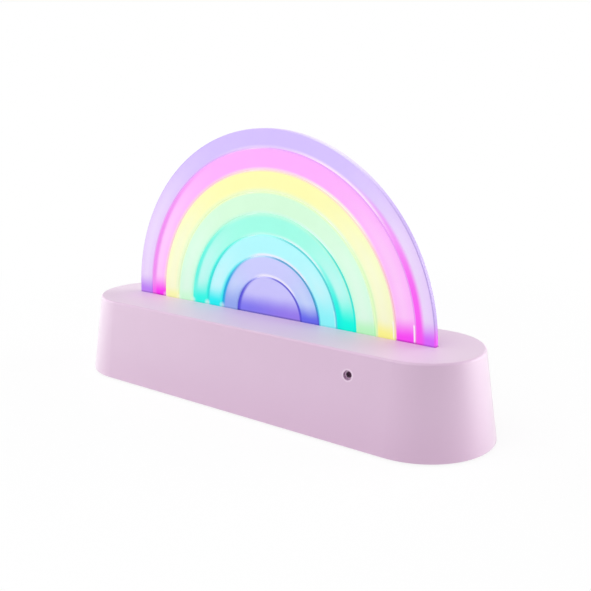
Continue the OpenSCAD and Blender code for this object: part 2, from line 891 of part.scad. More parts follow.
module capacitor() {
    can_r = 3.2;
    can_h = 7.6;
    bung_h = 0.6;
    color("#3a4a78")
        translate([can_at[0], can_at[1], board_top_z]) {
            cylinder(r = can_r - 0.25, h = can_h - eps);
            translate([0, 0, bung_h])
                cylinder(r = can_r, h = can_h - bung_h);
        }
}

module wire_sockets() {
    color("#f3efe2")
        for (s = socket_at)
            translate([s[0] - s[2] * socket_pitch / 2 - socket_wall, s[1] - socket_d / 2, board_top_z])
                difference() {
                    cube([s[2] * socket_pitch + 2 * socket_wall, socket_d, socket_h]);
                    translate([socket_wall, socket_wall, socket_floor])
                        cube([s[2] * socket_pitch, socket_d - 2 * socket_wall, socket_h]);
                }
}

module control_board_screws() {
    color("silver")
        for (at = board_post_at)
            translate([at[0], at[1], board_top_z])
                mirror([0, 0, 1])
                    screw_up(m2, board_t + board_screw_depth);
}

module microphone() {
    color("#c8c8cc") {
        rod_y(mic_r, mic_x, mic_z, mic_face_y, mic_back_y);
        for (x = [-mic_pin_x, mic_pin_x])
            rod_y(0.25, mic_x + x, mic_z, mic_back_y - eps, mic_back_y + mic_pin_len);
    }
}

module microphone_felt() {
    color("#161318")
        rod_y(felt_r, mic_x, mic_z, mic_face_y - felt_t, mic_face_y);
}

// Rubber cup that holds the capsule in the ring behind the sound opening
module microphone_sleeve() {
    color("#2a262c")
        difference() {
            rod_y(sleeve_r, mic_x, mic_z, mic_face_y - 0.6, mic_back_y);
            rod_y(mic_r + 0.02, mic_x, mic_z, mic_face_y, mic_back_y + eps);
            rod_y(felt_r + 0.05, mic_x, mic_z, mic_face_y - 1, mic_face_y + eps);
        }
}

// Turned outline from the nose on the switch's plunger to the dished cap
module power_button() {
    flange_y = guide_end_y - button_stop;
    cap_edge = 0.5;
    dish_r = 14;
    dish_depth = 0.35;
    color("#e2cae2")
        translate([switch_x, 0, button_z])
            rotate([-90, 0, 0])
                rotate_extrude()
                    difference() {
                        polygon([
                            [0, plunger_y],
                            [plunger_r, plunger_y],
                            [plunger_r, flange_y - button_flange_t],
                            [button_flange_r, flange_y - button_flange_t],
                            [button_flange_r, flange_y],
                            [button_r, flange_y],
                            [button_r, button_face_y - cap_edge],
                            [button_r - cap_edge, button_face_y],
                            [0, button_face_y]
                        ]);
                        translate([0, button_face_y + dish_r - dish_depth])
                            circle(r = dish_r);
                    }
}

module button_switch() {
    color("#2c2c30")
        difference() {
            translate([switch_x - switch_size[0] / 2, switch_face_y - switch_size[1], board_top_z])
                cube(switch_size);
            rod_y(plunger_r + run_fit, switch_x, button_z, switch_face_y - plunger_in - button_travel - 0.2,
                switch_face_y + eps);
        }
}

module switch_plunger() {
    color("#e8e4dc")
        rod_y(plunger_r, switch_x, button_z, switch_face_y - plunger_in, plunger_y);
}

// Receptacle: an obround metal shell, closed at its back, with the contact tongue inside
module usb_inlet() {
    color("#b9bcc2")
        difference() {
            usb_shell(0, usb_mouth_y - usb_size[1], usb_mouth_y);
            usb_shell(-usb_skin, usb_mouth_y - usb_depth, usb_mouth_y + eps);
        }
    color("#222226")
        translate([usb_x - usb_tongue[0] / 2, usb_mouth_y - usb_depth - usb_skin, usb_z - usb_tongue[1] / 2])
            cube([usb_tongue[0], usb_depth - 0.4, usb_tongue[1]]);
}

module battery_cells() {
    for (i = [0 : cells - 1])
        translate([0, (i - 1) * cell_pitch, cell_z])
            mirror([i % 2, 0, 0])
                translate([cell_x, 0, 0])
                    rotate([0, 90, 0]) {
                        color("#c9ccd2")
                            cylinder(r = cell_r, h = cell_len);
                        color("#d8dade")
                            translate([0, 0, cell_len - eps])
                                cylinder(r = cell_button_r, h = cell_button + eps);
                    }
}

// Nickel plates at both ends of the bay. Neighbouring cells are joined in series by the wide ones.
module contact_plates() {
    single = [contact_t, 2 * contact_half, 2 * contact_half];
    double = [contact_t, cell_pitch + 2 * contact_half, 2 * contact_half];
    x_in = bay_half_x - contact_t;
    color("#cfd2d6")
        translate([0, 0, cell_z - contact_half]) {
            translate([-bay_half_x, -cell_pitch - contact_half, 0])
                cube(double);
            translate([-bay_half_x, cell_pitch - contact_half, 0])
                cube(single);
            translate([x_in, -contact_half, 0])
                cube(double);
            translate([x_in, -cell_pitch - contact_half, 0])
                cube(single);
        }
    color("#cfd2d6")
        for (y = [-cell_pitch, cell_pitch])
            translate([x_in, y - contact_tab[1] / 2, contact_tab_z - contact_tab[2]])
                cube([tab_end_x - x_in, contact_tab[1], contact_tab[2]]);
}

// Faces of a tube with so many rings and sides, closed at both ends
function tube_faces(rings, sides) = concat(
    [[for (j = [sides - 1 : -1 : 0]) j]],
    [for (i = [0 : rings - 2]) for (j = [0 : sides - 1])
        [i * sides + j, i * sides + (j + 1) % sides, (i + 1) * sides + j]],
    [for (i = [0 : rings - 2]) for (j = [0 : sides - 1])
        [i * sides + (j + 1) % sides, (i + 1) * sides + (j + 1) % sides, (i + 1) * sides + j]],
    [[for (j = [0 : sides - 1]) (rings - 1) * sides + j]]
);

// Conical contact spring along X
function spring_r(u) = spring_base_r + (spring_tip_r - spring_base_r) * u;
function spring_point(u, phi) =
    let (turn = 360 * spring_turns * u, r = spring_r(u) + spring_wire * cos(phi))
        [spring_wire + 0.1 + spring_rise * u + spring_wire * sin(phi), r * cos(turn), r * sin(turn)];

module contact_spring() {
    rings = round(spring_steps * spring_turns) + 1;
    polyhedron(
        points = [
            for (i = [0 : rings - 1])
                for (j = [0 : spring_sides - 1]) spring_point(i / (rings - 1), 360 * j / spring_sides)
        ],
        faces = tube_faces(rings, spring_sides)
    );
}

module contact_springs() {
    color("#d5d8dc")
        for (i = [0 : cells - 1])
            mirror([i % 2, 0, 0])
                translate([-bay_half_x + contact_t, (i - 1) * cell_pitch, cell_z])
                    contact_spring();
}

module battery_door() {
    groove_count = 5;
    groove_pitch = 2;
    groove_inset = 5;
    groove_len = 18;
    groove_r = 0.5;
    color("#d8bcd8")
        difference() {
            union() {
                rotate([90, 0, 90])
                    translate([0, 0, -door_half_x])
                        linear_extrude(height = 2 * door_half_x) {
                            translate([pivot_y, pivot_z])
                                circle(r = bead_r);
                            translate([pivot_y, door_z])
                                square([door_back_y - pivot_y, door_t]);
                        }
                translate([-door_half_x - pivot_len, pivot_y, pivot_z])
                    rotate([0, 90, 0])
                        cylinder(r = pivot_r, h = 2 * (door_half_x + pivot_len));
                translate([-tab_half, bay_out_y + 0.3, door_z])
                    cube([2 * tab_half, tab_end_y - bay_out_y - 0.3, tab_t]);
                for (x = [-bay_half_x * 0.5, bay_half_x * 0.5])
                    translate([x - 0.6, -bay_half_y + 1, door_top_z - eps])
                        cube([1.2, 2 * bay_half_y - 2, door_rib + eps]);
            }
            translate([0, tab_screw_y, door_z - eps])
                cylinder(r = m2[1] + hole_play, h = m2[2] + 0.3 + eps);
            translate([0, tab_screw_y, door_z])
                cylinder(r = m2[0] + pilot_play, h = tab_t + eps);
            // finger grooves across the door's outer face
            for (i = [0 : groove_count - 1])
                translate([-groove_len / 2, door_back_y - groove_inset - i * groove_pitch, door_z])
                    rotate([0, 90, 0])
                        cylinder(r = groove_r, h = groove_len);
        }
}

module battery_door_screw() {
    color("silver")
        translate([0, tab_screw_y, door_z + m2[2] + 0.3])
            screw_up(m2, door_screw_len);
}

module rubber_feet() {
    color("#8f858f")
        for (x = [-foot_x, foot_x])
            for (y = [-foot_y, foot_y])
                translate([x, y, 0]) {
                    cylinder(r1 = foot_d / 2 - foot_edge, r2 = foot_d / 2, h = foot_edge);
                    translate([0, 0, foot_edge])
                        cylinder(r = foot_d / 2, h = plate_z + foot_pocket - foot_edge);
                }
}

module housing_screws() {
    color("silver")
        for (at = plate_screw_at)
            translate([at[0], at[1], plate_z + m26[2] + 0.5])
                screw_up(m26, plate_screw_len);
}

// Smooth curve through hand-placed points: each stretch is a cubic with the neighbours' slopes
function route_at(p, i, t) =
    let (
        a = p[max(i - 1, 0)], b = p[i], c = p[i + 1], d = p[min(i + 2, len(p) - 1)],
        m0 = (c - a) / 2, m1 = (d - b) / 2, t2 = t * t, t3 = t2 * t
    ) b * (2 * t3 - 3 * t2 + 1) + m0 * (t3 - 2 * t2 + t) + c * (3 * t2 - 2 * t3) + m1 * (t3 - t2);
function route(p) = concat(
    [for (i = [0 : len(p) - 2]) for (s = [0 : wire_steps - 1]) route_at(p, i, s / wire_steps)],
    [p[len(p) - 1]]
);
function unit(v) = v / norm(v);
function slope(q, i) = unit(q[min(i + 1, len(q) - 1)] - q[max(i - 1, 0)]);

// Wire of round section along a route, its rings turned square to the route
module wire(p, across) {
    q = route(p);
    polyhedron(
        points = [
            for (i = [0 : len(q) - 1])
                let (t = slope(q, i), u = unit(cross(t, across)), v = cross(t, u))
                    for (j = [0 : wire_sides - 1])
                        q[i] + wire_r * (cos(360 * j / wire_sides) * u + sin(360 * j / wire_sides) * v)
        ],
        faces = tube_faces(len(q), wire_sides)
    );
}

module battery_leads() {
    color("#c43c3c")
        wire(battery_plus_route, [1, 0, 0.3]);
    color("#2a2a2e")
        wire(battery_minus_route, [1, 0, 0.3]);
}

module led_leads() {
    color("#e6e2da")
        for (k = [-1 : 1])
            wire(led_route(k), [1, 0, 0]);
}

module microphone_leads() {
    color("#b03a3a")
        wire(mic_plus_route, [1, 0, 0]);
    color("#2a2a2e")
        wire(mic_minus_route, [1, 0, 0]);
}

housing();
base_plate();
arch_lavender();
arch_pink();
arch_yellow();
arch_lime();
arch_aqua();
arch_cyan();
arch_periwinkle();
half_disc_violet();
guide_clamp_front();
guide_clamp_rear();
clamp_screws();
clamp_mount_screws();
led_board();
leds();
led_board_screws();
control_board();
control_chip();
capacitor();
wire_sockets();
control_board_screws();
microphone();
microphone_felt();
microphone_sleeve();
power_button();
button_switch();
switch_plunger();
usb_inlet();
battery_cells();
contact_plates();
contact_springs();
battery_door();
battery_door_screw();
rubber_feet();
housing_screws();
battery_leads();
led_leads();
microphone_leads();
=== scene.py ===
"""Rainbow lamp: finishes, wound and cast details, and the studio that the lamp stands in.

Run as a script in Blender. Lengths are metres in the scene; most shape functions work in millimetres.
"""

import math
from typing import NamedTuple

import bpy
import numpy as np
from bpy.props import FloatProperty, FloatVectorProperty, PointerProperty
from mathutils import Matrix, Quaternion, Vector


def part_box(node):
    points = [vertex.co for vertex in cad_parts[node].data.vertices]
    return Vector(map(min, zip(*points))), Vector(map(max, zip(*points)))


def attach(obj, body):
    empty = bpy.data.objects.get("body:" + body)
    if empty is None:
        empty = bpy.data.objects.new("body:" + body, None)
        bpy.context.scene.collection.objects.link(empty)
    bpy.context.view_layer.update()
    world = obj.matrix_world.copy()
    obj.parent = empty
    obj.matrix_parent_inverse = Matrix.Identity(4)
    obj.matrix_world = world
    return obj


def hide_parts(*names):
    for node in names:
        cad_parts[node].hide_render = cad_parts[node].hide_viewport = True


bl_info = {
    "name": "Rainbow lamp",
    "version": (1, 0, 0),
    "blender": (4, 5, 0),
    "location": "3D View > Sidebar > Lamp",
    "description": "Builds the finishes, small parts and studio of a rainbow table lamp",
    "category": "Object",
}

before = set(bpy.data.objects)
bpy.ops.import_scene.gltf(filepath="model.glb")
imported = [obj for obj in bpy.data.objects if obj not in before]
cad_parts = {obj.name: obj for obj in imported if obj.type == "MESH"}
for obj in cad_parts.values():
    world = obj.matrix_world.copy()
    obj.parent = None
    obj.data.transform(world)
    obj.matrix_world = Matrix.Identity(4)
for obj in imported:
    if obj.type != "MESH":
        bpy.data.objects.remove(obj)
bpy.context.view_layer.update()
MM = 0.001
# Name of the value that the points of a new piece carry
MARK = "mark"


def corners(node):
    """Lowest and highest corner of a CAD node in millimetres."""
    low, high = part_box(node)
    return np.array(low) / MM, np.array(high) / MM


# Heights in mm of the deck and of the centre that the arches share
DECK_Z = corners("housing")[1][2]
ARCH_Z = corners("arch_lavender")[1][2] - corners("arch_lavender")[1][0]


def linear(red, green, blue):
    """Scene colour of a display colour that is written in 0 to 255."""
    share = np.array([red, green, blue]) / 255
    return tuple(np.where(share <= 0.04045, share / 12.92, ((share + 0.055) / 1.055) ** 2.4).tolist())


# Shader maths

class Term:
    """A value in a material's node tree. Arithmetic on it adds Math nodes."""

    def __init__(self, finish, socket):
        self.finish = finish
        self.socket = socket

    def __add__(self, other):
        return self.finish.math("ADD", self, other)

    def __radd__(self, other):
        return self.finish.math("ADD", other, self)

    def __sub__(self, other):
        return self.finish.math("SUBTRACT", self, other)

    def __rsub__(self, other):
        return self.finish.math("SUBTRACT", other, self)

    def __mul__(self, other):
        return self.finish.math("MULTIPLY", self, other)

    def __rmul__(self, other):
        return self.finish.math("MULTIPLY", other, self)

    def __truediv__(self, other):
        return self.finish.math("DIVIDE", self, other)

    def __rtruediv__(self, other):
        return self.finish.math("DIVIDE", other, self)

    def __neg__(self):
        return self.finish.math("MULTIPLY", self, -1.0)

    def __abs__(self):
        return self.finish.math("ABSOLUTE", self)


class Finish:
    """Nodes of a material or a world. One method adds any node, and short forms add the common ones."""

    def __init__(self, name, kind="materials"):
        """kind is the collection of bpy.data that the new owner of the nodes goes to."""
        self.owner = getattr(bpy.data, kind).new(name)
        self.owner.use_nodes = True
        self.tree = self.owner.node_tree
        self.tree.nodes.clear()

    def node(self, kind, settings=None, inputs=None):
        """Adds a node: its type, its settings first, then the values or links of its sockets."""
        made = self.tree.nodes.new(kind)
        for key, value in (settings or {}).items():
            setattr(made, key, value)
        for key, value in (inputs or {}).items():
            socket = made.inputs[key]
            if isinstance(value, Term):
                value = value.socket
            if isinstance(value, bpy.types.NodeSocket):
                self.tree.links.new(value, socket)
            elif socket.type == "RGBA" and len(value) == 3:
                socket.default_value = (*value, 1.0)
            else:
                socket.default_value = value
        return made

    def math(self, operation, *values):
        made = self.node("ShaderNodeMath", {"operation": operation}, dict(enumerate(values)))
        return Term(self, made.outputs[0])

    def larger(self, a, b):
        return self.math("MAXIMUM", a, b)

    def smaller(self, a, b):
        return self.math("MINIMUM", a, b)

    def root(self, value):
        return self.math("SQRT", value)

    def rise(self, value, start, end):
        """0 where value is below start, 1 above end, smooth in between."""
        made = self.node(
            "ShaderNodeMapRange",
            {"interpolation_type": "SMOOTHSTEP"},
            {"Value": value, "From Min": start, "From Max": end},
        )
        return Term(self, made.outputs[0])

    def mix(self, share, under, over):
        """Colour under, covered by colour over in the given share."""
        made = self.node("ShaderNodeMix", {"data_type": "RGBA"}, {0: share, 6: under, 7: over})
        return made.outputs[2]

    def layers(self, tint, *covers):
        """Colour, covered in turn by display colours that each come with a share."""
        for share, colour in covers:
            tint = self.mix(share, tint, linear(*colour))
        return tint

    def dim(self, colour, value):
        """Colour times a value or a number."""
        made = self.node("ShaderNodeVectorMath", {"operation": "SCALE"}, {0: colour, "Scale": value})
        return made.outputs[0]

    def vector(self, centre=(0, 0, 0), stretch=(1, 1, 1)):
        """Object coordinates in millimetres from centre, stretched."""
        place = self.node("ShaderNodeTexCoord").outputs["Object"]
        shift = -np.array(centre) * stretch
        size = np.array(stretch) / MM
        made = self.node(
            "ShaderNodeMapping", {}, {0: place, "Location": tuple(shift), "Scale": tuple(size)}
        )
        return made.outputs[0]

    def parts(self, vector):
        """The three values of a vector."""
        made = self.node("ShaderNodeSeparateXYZ", {}, {0: vector})
        return [Term(self, socket) for socket in made.outputs]

    def noise(self, vector, size, detail=2.0, roughness=0.5):
        """Noise from 0 to 1 whose grains are about size millimetres across."""
        made = self.node(
            "ShaderNodeTexNoise",
            {},
            {"Vector": vector, "Scale": 1 / size, "Detail": detail, "Roughness": roughness},
        )
        return Term(self, made.outputs[0])

    def cells(self, vector, size):
        """Distance to the nearest of scattered points that lie about size millimetres apart."""
        made = self.node("ShaderNodeTexVoronoi", {}, {"Vector": vector, "Scale": 1 / size})
        return Term(self, made.outputs["Distance"])

    def mark(self):
        """Value that a piece's own points carry."""
        made = self.node("ShaderNodeAttribute", {"attribute_name": MARK})
        return Term(self, made.outputs["Fac"])

    def within(self, value, low, high, edge=0.05):
        """1 where value lies between low and high, 0 elsewhere."""
        return self.rise(value, low - edge, low + edge) * (1 - self.rise(value, high - edge, high + edge))

    def bump(self, height, depth, strength=1.0):
        """Normal that a relief of the given depth in millimetres leaves."""
        made = self.node(
            "ShaderNodeBump", {}, {"Height": height, "Distance": depth * MM, "Strength": strength}
        )
        return made.outputs[0]

    def surface(self, **inputs):
        """Ends the material in a Principled surface. An underscore in a name stands for a space."""
        named = {key.replace("_", " "): value for key, value in inputs.items()}
        shader = self.node("ShaderNodeBsdfPrincipled", {}, named)
        return self.end(shader)

    def end(self, shader, kind="ShaderNodeOutputMaterial"):
        """Leads the shader to the output and gives the finished material or world."""
        self.node(kind, {}, {"Surface": shader.outputs[0]})
        return self.owner


def dress(material, *nodes):
    """Gives CAD nodes a material in every slot they have."""
    for name in nodes:
        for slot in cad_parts[name].material_slots:
            slot.material = material


# Shapes

def round_turn(sides):
    """Angles of the points of a ring."""
    return np.linspace(0, 2 * np.pi, sides, endpoint=False)


def set_at(places, form):
    """Copies of one form, each moved by one of the places."""
    return np.array(places, float)[:, None, None] + form[None]


def closed_shells(rows):
    """Points and faces of shells that are given as rings, each end closed by a fan round its middle.

    rows has the shape (copies, rings, sides, 3). A wall joins point j of ring i to point j + 1 and to ring
    i + 1.
    """
    copies, rings, sides, _ = rows.shape
    middles = np.stack([rows[:, 0].mean(1), rows[:, -1].mean(1)], 1)
    points = np.concatenate([rows.reshape(copies, -1, 3), middles], 1)
    ring, side = np.meshgrid(np.arange(rings - 1), np.arange(sides), indexing="ij")
    near = ring * sides + side
    far = ring * sides + (side + 1) % sides
    walls = np.stack([near, far, far + sides, near + sides], -1).reshape(-1, 4)
    side = np.arange(sides)
    after = (side + 1) % sides
    last = (rings - 1) * sides
    pole = np.full(sides, rings * sides)
    first_fan = np.stack([pole, after, side], 1)
    last_fan = np.stack([pole + 1, last + side, last + after], 1)
    fans = np.concatenate([first_fan, last_fan])
    shift = (np.arange(copies) * points.shape[1])[:, None, None]
    return points.reshape(-1, 3), (walls + shift).reshape(-1, 4), (fans + shift).reshape(-1, 3)


def piece(name, shells, material, body, covers=None, marks=None):
    """Object made of closed shells in mm, riding on a body.

    covers is the CAD node that the piece replaces. marks has one value, or one a point, for each of shells.
    """
    points, faces, smooth, values = [], [], [], []
    count = 0
    for place, rows in enumerate(shells):
        made, walls, fans = closed_shells(rows)
        faces += (walls + count).tolist() + (fans + count).tolist()
        smooth += [True] * len(walls) + [False] * len(fans)
        points.append(made)
        if marks is not None:
            values.append(np.broadcast_to(marks[place], len(made)))
        count += len(made)
    mesh = bpy.data.meshes.new(name)
    mesh.from_pydata((np.concatenate(points) * MM).tolist(), [], faces)
    mesh.polygons.foreach_set("use_smooth", smooth)
    if marks is not None:
        mesh.attributes.new(MARK, "FLOAT", "POINT").data.foreach_set("value", np.concatenate(values))
    mesh.materials.append(material)
    made = bpy.data.objects.new(name, mesh)
    bpy.context.scene.collection.objects.link(made)
    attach(made, body)
    if covers:
        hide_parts(covers)


def smooth_route(stops, steps=14):
    """Curve through stops, made of cubics.

    The slope at a stop is half the way from the stop before it to the stop after it.
    """
    stops = np.array(stops, float)
    padded = np.concatenate([stops[:1], stops, stops[-1:]])
    slope = (padded[2:] - padded[:-2]) / 2
    share = (np.arange(steps) / steps)[None, :, None]
    start, end = stops[:-1, None], stops[1:, None]
    leave, reach = slope[:-1, None], slope[1:, None]
    curve = (
        start * (2 * share**3 - 3 * share**2 + 1) + leave * (share**3 - 2 * share**2 + share)
        + end * (3 * share**2 - 2 * share**3) + reach * (share**3 - share**2)
    )
    return np.concatenate([curve.reshape(-1, 3), stops[-1:]])


def tube(path, radius, across, sides=14):
    """Rings round a path: centre plus radius times (cosine of the turn times u plus sine times v).

    u is square to the path and to across, and v is square to the path and to u.
    """
    slope = np.gradient(path, axis=0)
    slope /= np.linalg.norm(slope, axis=1, keepdims=True)
    u = np.cross(slope, across)
    u /= np.linalg.norm(u, axis=1, keepdims=True)
    v = np.cross(slope, u)
    turn = round_turn(sides)[None, :, None]
    size = np.broadcast_to(radius, len(path))[:, None, None]
    return (path[:, None] + size * (np.cos(turn) * u[:, None] + np.sin(turn) * v[:, None]))[None]


def turned(centres, profile, sides=20):
    """Turned forms about upright axes: each pair (radius, height) of the profile goes round each centre."""
    radius, height = np.array(profile, float).T[:, :, None]
    turn = round_turn(sides)[None]
    level = np.broadcast_to(height, (len(profile), sides))
    return set_at(centres, np.stack([radius * np.cos(turn), radius * np.sin(turn), level], -1))


def blunt_blocks(centres, half, power=0.2, rings=8, sides=20):
    """Blocks with soft corners: half sizes times powers of cosine and sine of two angles, signs kept."""
    lift = np.radians(np.linspace(-84, 84, rings))[:, None]
    turn = round_turn(sides)[None]

    def root(value):
        return np.sign(value) * np.abs(value) ** power

    form = np.stack([
        root(np.cos(lift)) * root(np.cos(turn)), root(np.cos(lift)) * root(np.sin(turn)),
        np.broadcast_to(root(np.sin(lift)), (rings, sides)),
    ], -1)
    return set_at(centres, form * np.array(half))


def thread(places, axis, radius, start, end, pitch, ridge):
    """Screw ridges: a three-sided profile carried along helices about the shanks, fading out at both ends.

    The helix is radius times (cosine a plus sine b) plus the way along the axis, one pitch a turn. The
    profile has its tip out by ridge, and its two feet lie sunk a little, either side of the tip.
    """
    steps_a_turn, fade_rate, faded = 18, 1.5, 0.05
    sunk, half_foot = 0.03, pitch * 0.3
    axis = np.array(axis, float)
    a = np.array([1.0, 0.0, 0.0])
    b = np.cross(axis, a)
    turns = (end - start) / pitch
    way = np.linspace(0, 1, int(turns * steps_a_turn) + 1)
    angle = 2 * np.pi * turns * way
    fade = np.clip(np.minimum(way, 1 - way) * turns * fade_rate, faded, 1)
    out = radius + np.stack([ridge * fade, -sunk * fade, -sunk * fade], 1)
    along = start + (end - start) * way[:, None] + half_foot * fade[:, None] * np.array([0, -1, 1])
    spoke = np.cos(angle)[:, None] * a + np.sin(angle)[:, None] * b
    rows = out[:, :, None] * spoke[:, None] + along[:, :, None] * axis
    return set_at(places, rows)


# Light guides

# Pale white of the middle of a leg over its source, and of the painted highlight on the outermost guide's
# rim
PALE = linear(252, 252, 253)
# White of the painted glints and reflections, and of the tenons lit by their sources
GLINT = linear(255, 252, 255)
# White spots of painted reflection at the left feet: height over the deck, half height and square of the
# half width, in mm
SPOT_HIGH = 0.9
SPOT_TALL = 2.2
SPOT_WIDE_SQUARED = 5.3
# Height in mm from the foot of a tenon over which it is lit by its source
LIT_TENON = 7.0

# Each guide from the outside in, with its display colours: crown, flank, left foot, right foot, stripe that
# the outer seam shows on the left, stripe that the inner seam shows on the right, and rim, the painted
# shade line along the outer edge
GUIDES = [
    ("arch_lavender", (212, 192, 255), (232, 208, 252), (190, 130, 246), (218, 106, 255),
     (214, 196, 240), (252, 84, 244), (160, 134, 214)),
    ("arch_pink", (254, 176, 253), (254, 188, 252), (250, 46, 240), (250, 74, 246),
     (240, 140, 240), (242, 176, 206), (226, 132, 226)),
    ("arch_yellow", (254, 252, 178), (250, 254, 204), (251, 253, 178), (254, 250, 146),
     (252, 226, 196), (220, 251, 194), (252, 226, 200)),
    ("arch_lime", (214, 252, 219), (216, 255, 228), (206, 254, 216), (190, 253, 198),
     (222, 250, 206), (140, 240, 220), (222, 252, 210)),
    ("arch_aqua", (160, 253, 230), (174, 252, 240), (44, 250, 230), (0, 255, 228),
     (96, 246, 226), (0, 246, 228), (16, 220, 208)),
    ("arch_cyan", (178, 250, 254), (184, 250, 254), (30, 242, 244), (142, 249, 252),
     (40, 226, 220), (70, 196, 226), (30, 196, 206)),
    ("arch_periwinkle", (204, 206, 254), (186, 206, 252), (150, 172, 240), (104, 106, 236),
     (0, 172, 230), (96, 96, 224), (20, 146, 196)),
    ("half_disc_violet", (202, 198, 253), (182, 176, 254), (130, 124, 242), (152, 124, 236),
     (84, 80, 218), (84, 80, 218), (72, 66, 204)),
]
GUIDE_PARTS = ("crown", "flank", "foot_left", "foot_right", "seam_left", "seam_right", "rim")


class Shape(NamedTuple):
    """How the light of one guide is laid out. Pairs are left and right, and lengths are in mm."""

    # Height that the colour of each foot rises to
    rises: tuple
    # Widths of the seams' stripes at the feet
    widths: tuple = (0.0, 0.0)
    # Shares of the painted shade line along the rim, cosine that its right half starts from, and width of
    # the line
    rim_shades: tuple = (0.0, 0.0)
    rim_start: float = 0.0
    rim_width: float = 0.95
    # Share of the white glint along the inner seam, a painted reflection, and cosine that it grows from
    glint: float = 0.0
    glint_start: float = 0.0
    # Share of the shade at the deck
    shade: float = 0.1
    # Way that the light of the outer and of the inner neighbour scatters
    scatter: tuple = (0.0, 0.0)
    # Share of the white line of painted reflection at the right foot
    foot_reflection_line: float = 0.0
    # Share of the left stripe that the foot's colour covers
    ending: float = 0.0
    # Width at the foot of the glow along the inner seam on the left
    bleed: float = 0.0
    # Shares of the white spots of painted reflection at the left foot, by the outer and by the inner seam
    spots: tuple = (0.0, 0.0)


GUIDE_SHAPES = {
    "arch_lavender": Shape(
        rises=(12.0, 13.0), widths=(0.0, 3.9), rim_shades=(0.8, 0.75), rim_start=0.5, rim_width=0.8,
        glint=0.95, glint_start=0.1, shade=0.3, scatter=(0.0, 1.3),
    ),
    "arch_pink": Shape(
        rises=(13.0, 13.0), widths=(3.4, 0.9), rim_shades=(0.3, 0.45), rim_start=-0.1, rim_width=0.7,
        glint=0.85, glint_start=0.2, shade=0.4, scatter=(1.0, 2.2), foot_reflection_line=0.95, ending=0.5,
        spots=(0.0, 0.35),
    ),
    "arch_yellow": Shape(
        rises=(7.0, 10.0), widths=(0.0, 1.7), rim_shades=(0.4, 0.4), rim_start=-0.1, rim_width=0.7,
        glint=0.6, glint_start=0.3, scatter=(1.0, 3.8), foot_reflection_line=0.7, spots=(0.5, 0.35),
    ),
    "arch_lime": Shape(
        rises=(8.0, 9.0), widths=(0.0, 0.6), glint=0.75, glint_start=0.25, scatter=(1.2, 2.4),
        spots=(0.3, 0.35),
    ),
    "arch_aqua": Shape(
        rises=(16.0, 20.0), widths=(3.0, 3.6), rim_shades=(0.1, 1.0), rim_start=0.4, glint=0.85,
        glint_start=0.1, shade=0.15, scatter=(2.4, 1.3), ending=0.7, bleed=2.2, spots=(0.6, 0.55),
    ),
    "arch_cyan": Shape(
        rises=(13.0, 20.0), widths=(1.5, 1.2), rim_shades=(0.2, 0.9), glint=0.9, glint_start=-0.5, shade=0.15,
        scatter=(1.3, 1.3), foot_reflection_line=0.25, bleed=2.8, spots=(0.65, 0.4),
    ),
    "arch_periwinkle": Shape(
        rises=(16.0, 11.0), widths=(2.0, 0.9), rim_shades=(0.6, 1.0), rim_start=-0.15, glint=0.95,
        glint_start=-0.5, shade=0.2, scatter=(1.3, 1.0), bleed=1.8, spots=(0.55, 0.0),
    ),
    "half_disc_violet": Shape(
        rises=(12.0, 12.0), widths=(2.3, 0.0), rim_shades=(1.0, 1.0), rim_start=-0.1, shade=0.4,
    ),
}


def colour_property(label, note, *display):
    """Colour of a finish, given as a display colour in 0 to 255."""
    return FloatVectorProperty(
        name=label, description=note, subtype="COLOR", size=3, min=0, max=1, default=linear(*display)
    )


def number_property(label, note, default, **limits):
    """Number to set, from 0 up unless its limits say otherwise."""
    return FloatProperty(name=label, description=note, default=default, **{"min": 0, **limits})


def share_property(label, note, default, least=0):
    """Share of a whole."""
    return number_property(label, note, default, min=least, max=1, subtype="FACTOR")


def angle_property(label, note, degrees):
    """Angle, given in degrees and kept in radians."""
    return FloatProperty(name=label, description=note, default=math.radians(degrees), subtype="ANGLE")


def guide_group(node, colours):
    """PropertyGroup with the colours of one light guide."""
    notes = {
        part: colour_property(part.replace("_", " ").capitalize(), f"Glow of {node}, {part}", *colour)
        for part, colour in zip(GUIDE_PARTS, colours)
    }
    return type("LAMP_PG_" + node, (bpy.types.PropertyGroup,), {"__annotations__": notes})


GUIDE_GROUPS = {node: guide_group(node, colours) for node, *colours in GUIDES}


class LAMP_PG_light(bpy.types.PropertyGroup):
    """How strongly the light guides glow."""

    glow: number_property("Glow", "Light that the guides give off", 0.55, max=4)
    body: share_property("Body", "Share of the glow's colour that the acrylic itself has", 0.5)
    source: number_property("Sources", "Light of the domes on the board under the clamp", 1.2, max=8)
    soft: share_property("Seam softness", "Share of a seam's stripe over which it fades", 0.4, 0.05)


for guide_node, guide_colours in GUIDE_GROUPS.items():
    LAMP_PG_light.__annotations__[guide_node] = PointerProperty(type=guide_colours)


class LAMP_PG_plastic(bpy.types.PropertyGroup):
    """Colours and grain of the moulded plastics."""

    shell: colour_property("Shell", "Colour of the housing and button", 215, 180, 210)
    # Painted shade: the shell turns to this darker colour towards its bottom rim
    shell_foot_shade: colour_property("Shell foot", "Colour of the housing towards its rim", 211, 173, 205)
    under: colour_property("Underside", "Colour of the base plate and battery door", 205, 176, 205)
    inner: colour_property("Inner plastic", "Colour of the clamp around the guides", 240, 239, 236)
    grain: number_property("Grain", "Size in mm of the mould's eroded texture", 0.35, min=0.1, max=2)
    roughness: share_property("Roughness", "Roughness of the satin shell", 0.46)


class LAMP_PG_metal(bpy.types.PropertyGroup):
    """Colours of the metals."""

    zinc: colour_property("Zinc", "Plating of the screws", 206, 208, 212)
    nickel: colour_property("Nickel", "Contact plates and springs", 222, 218, 210)
    tin: colour_property("Tin", "Microphone can and solder", 214, 215, 218)


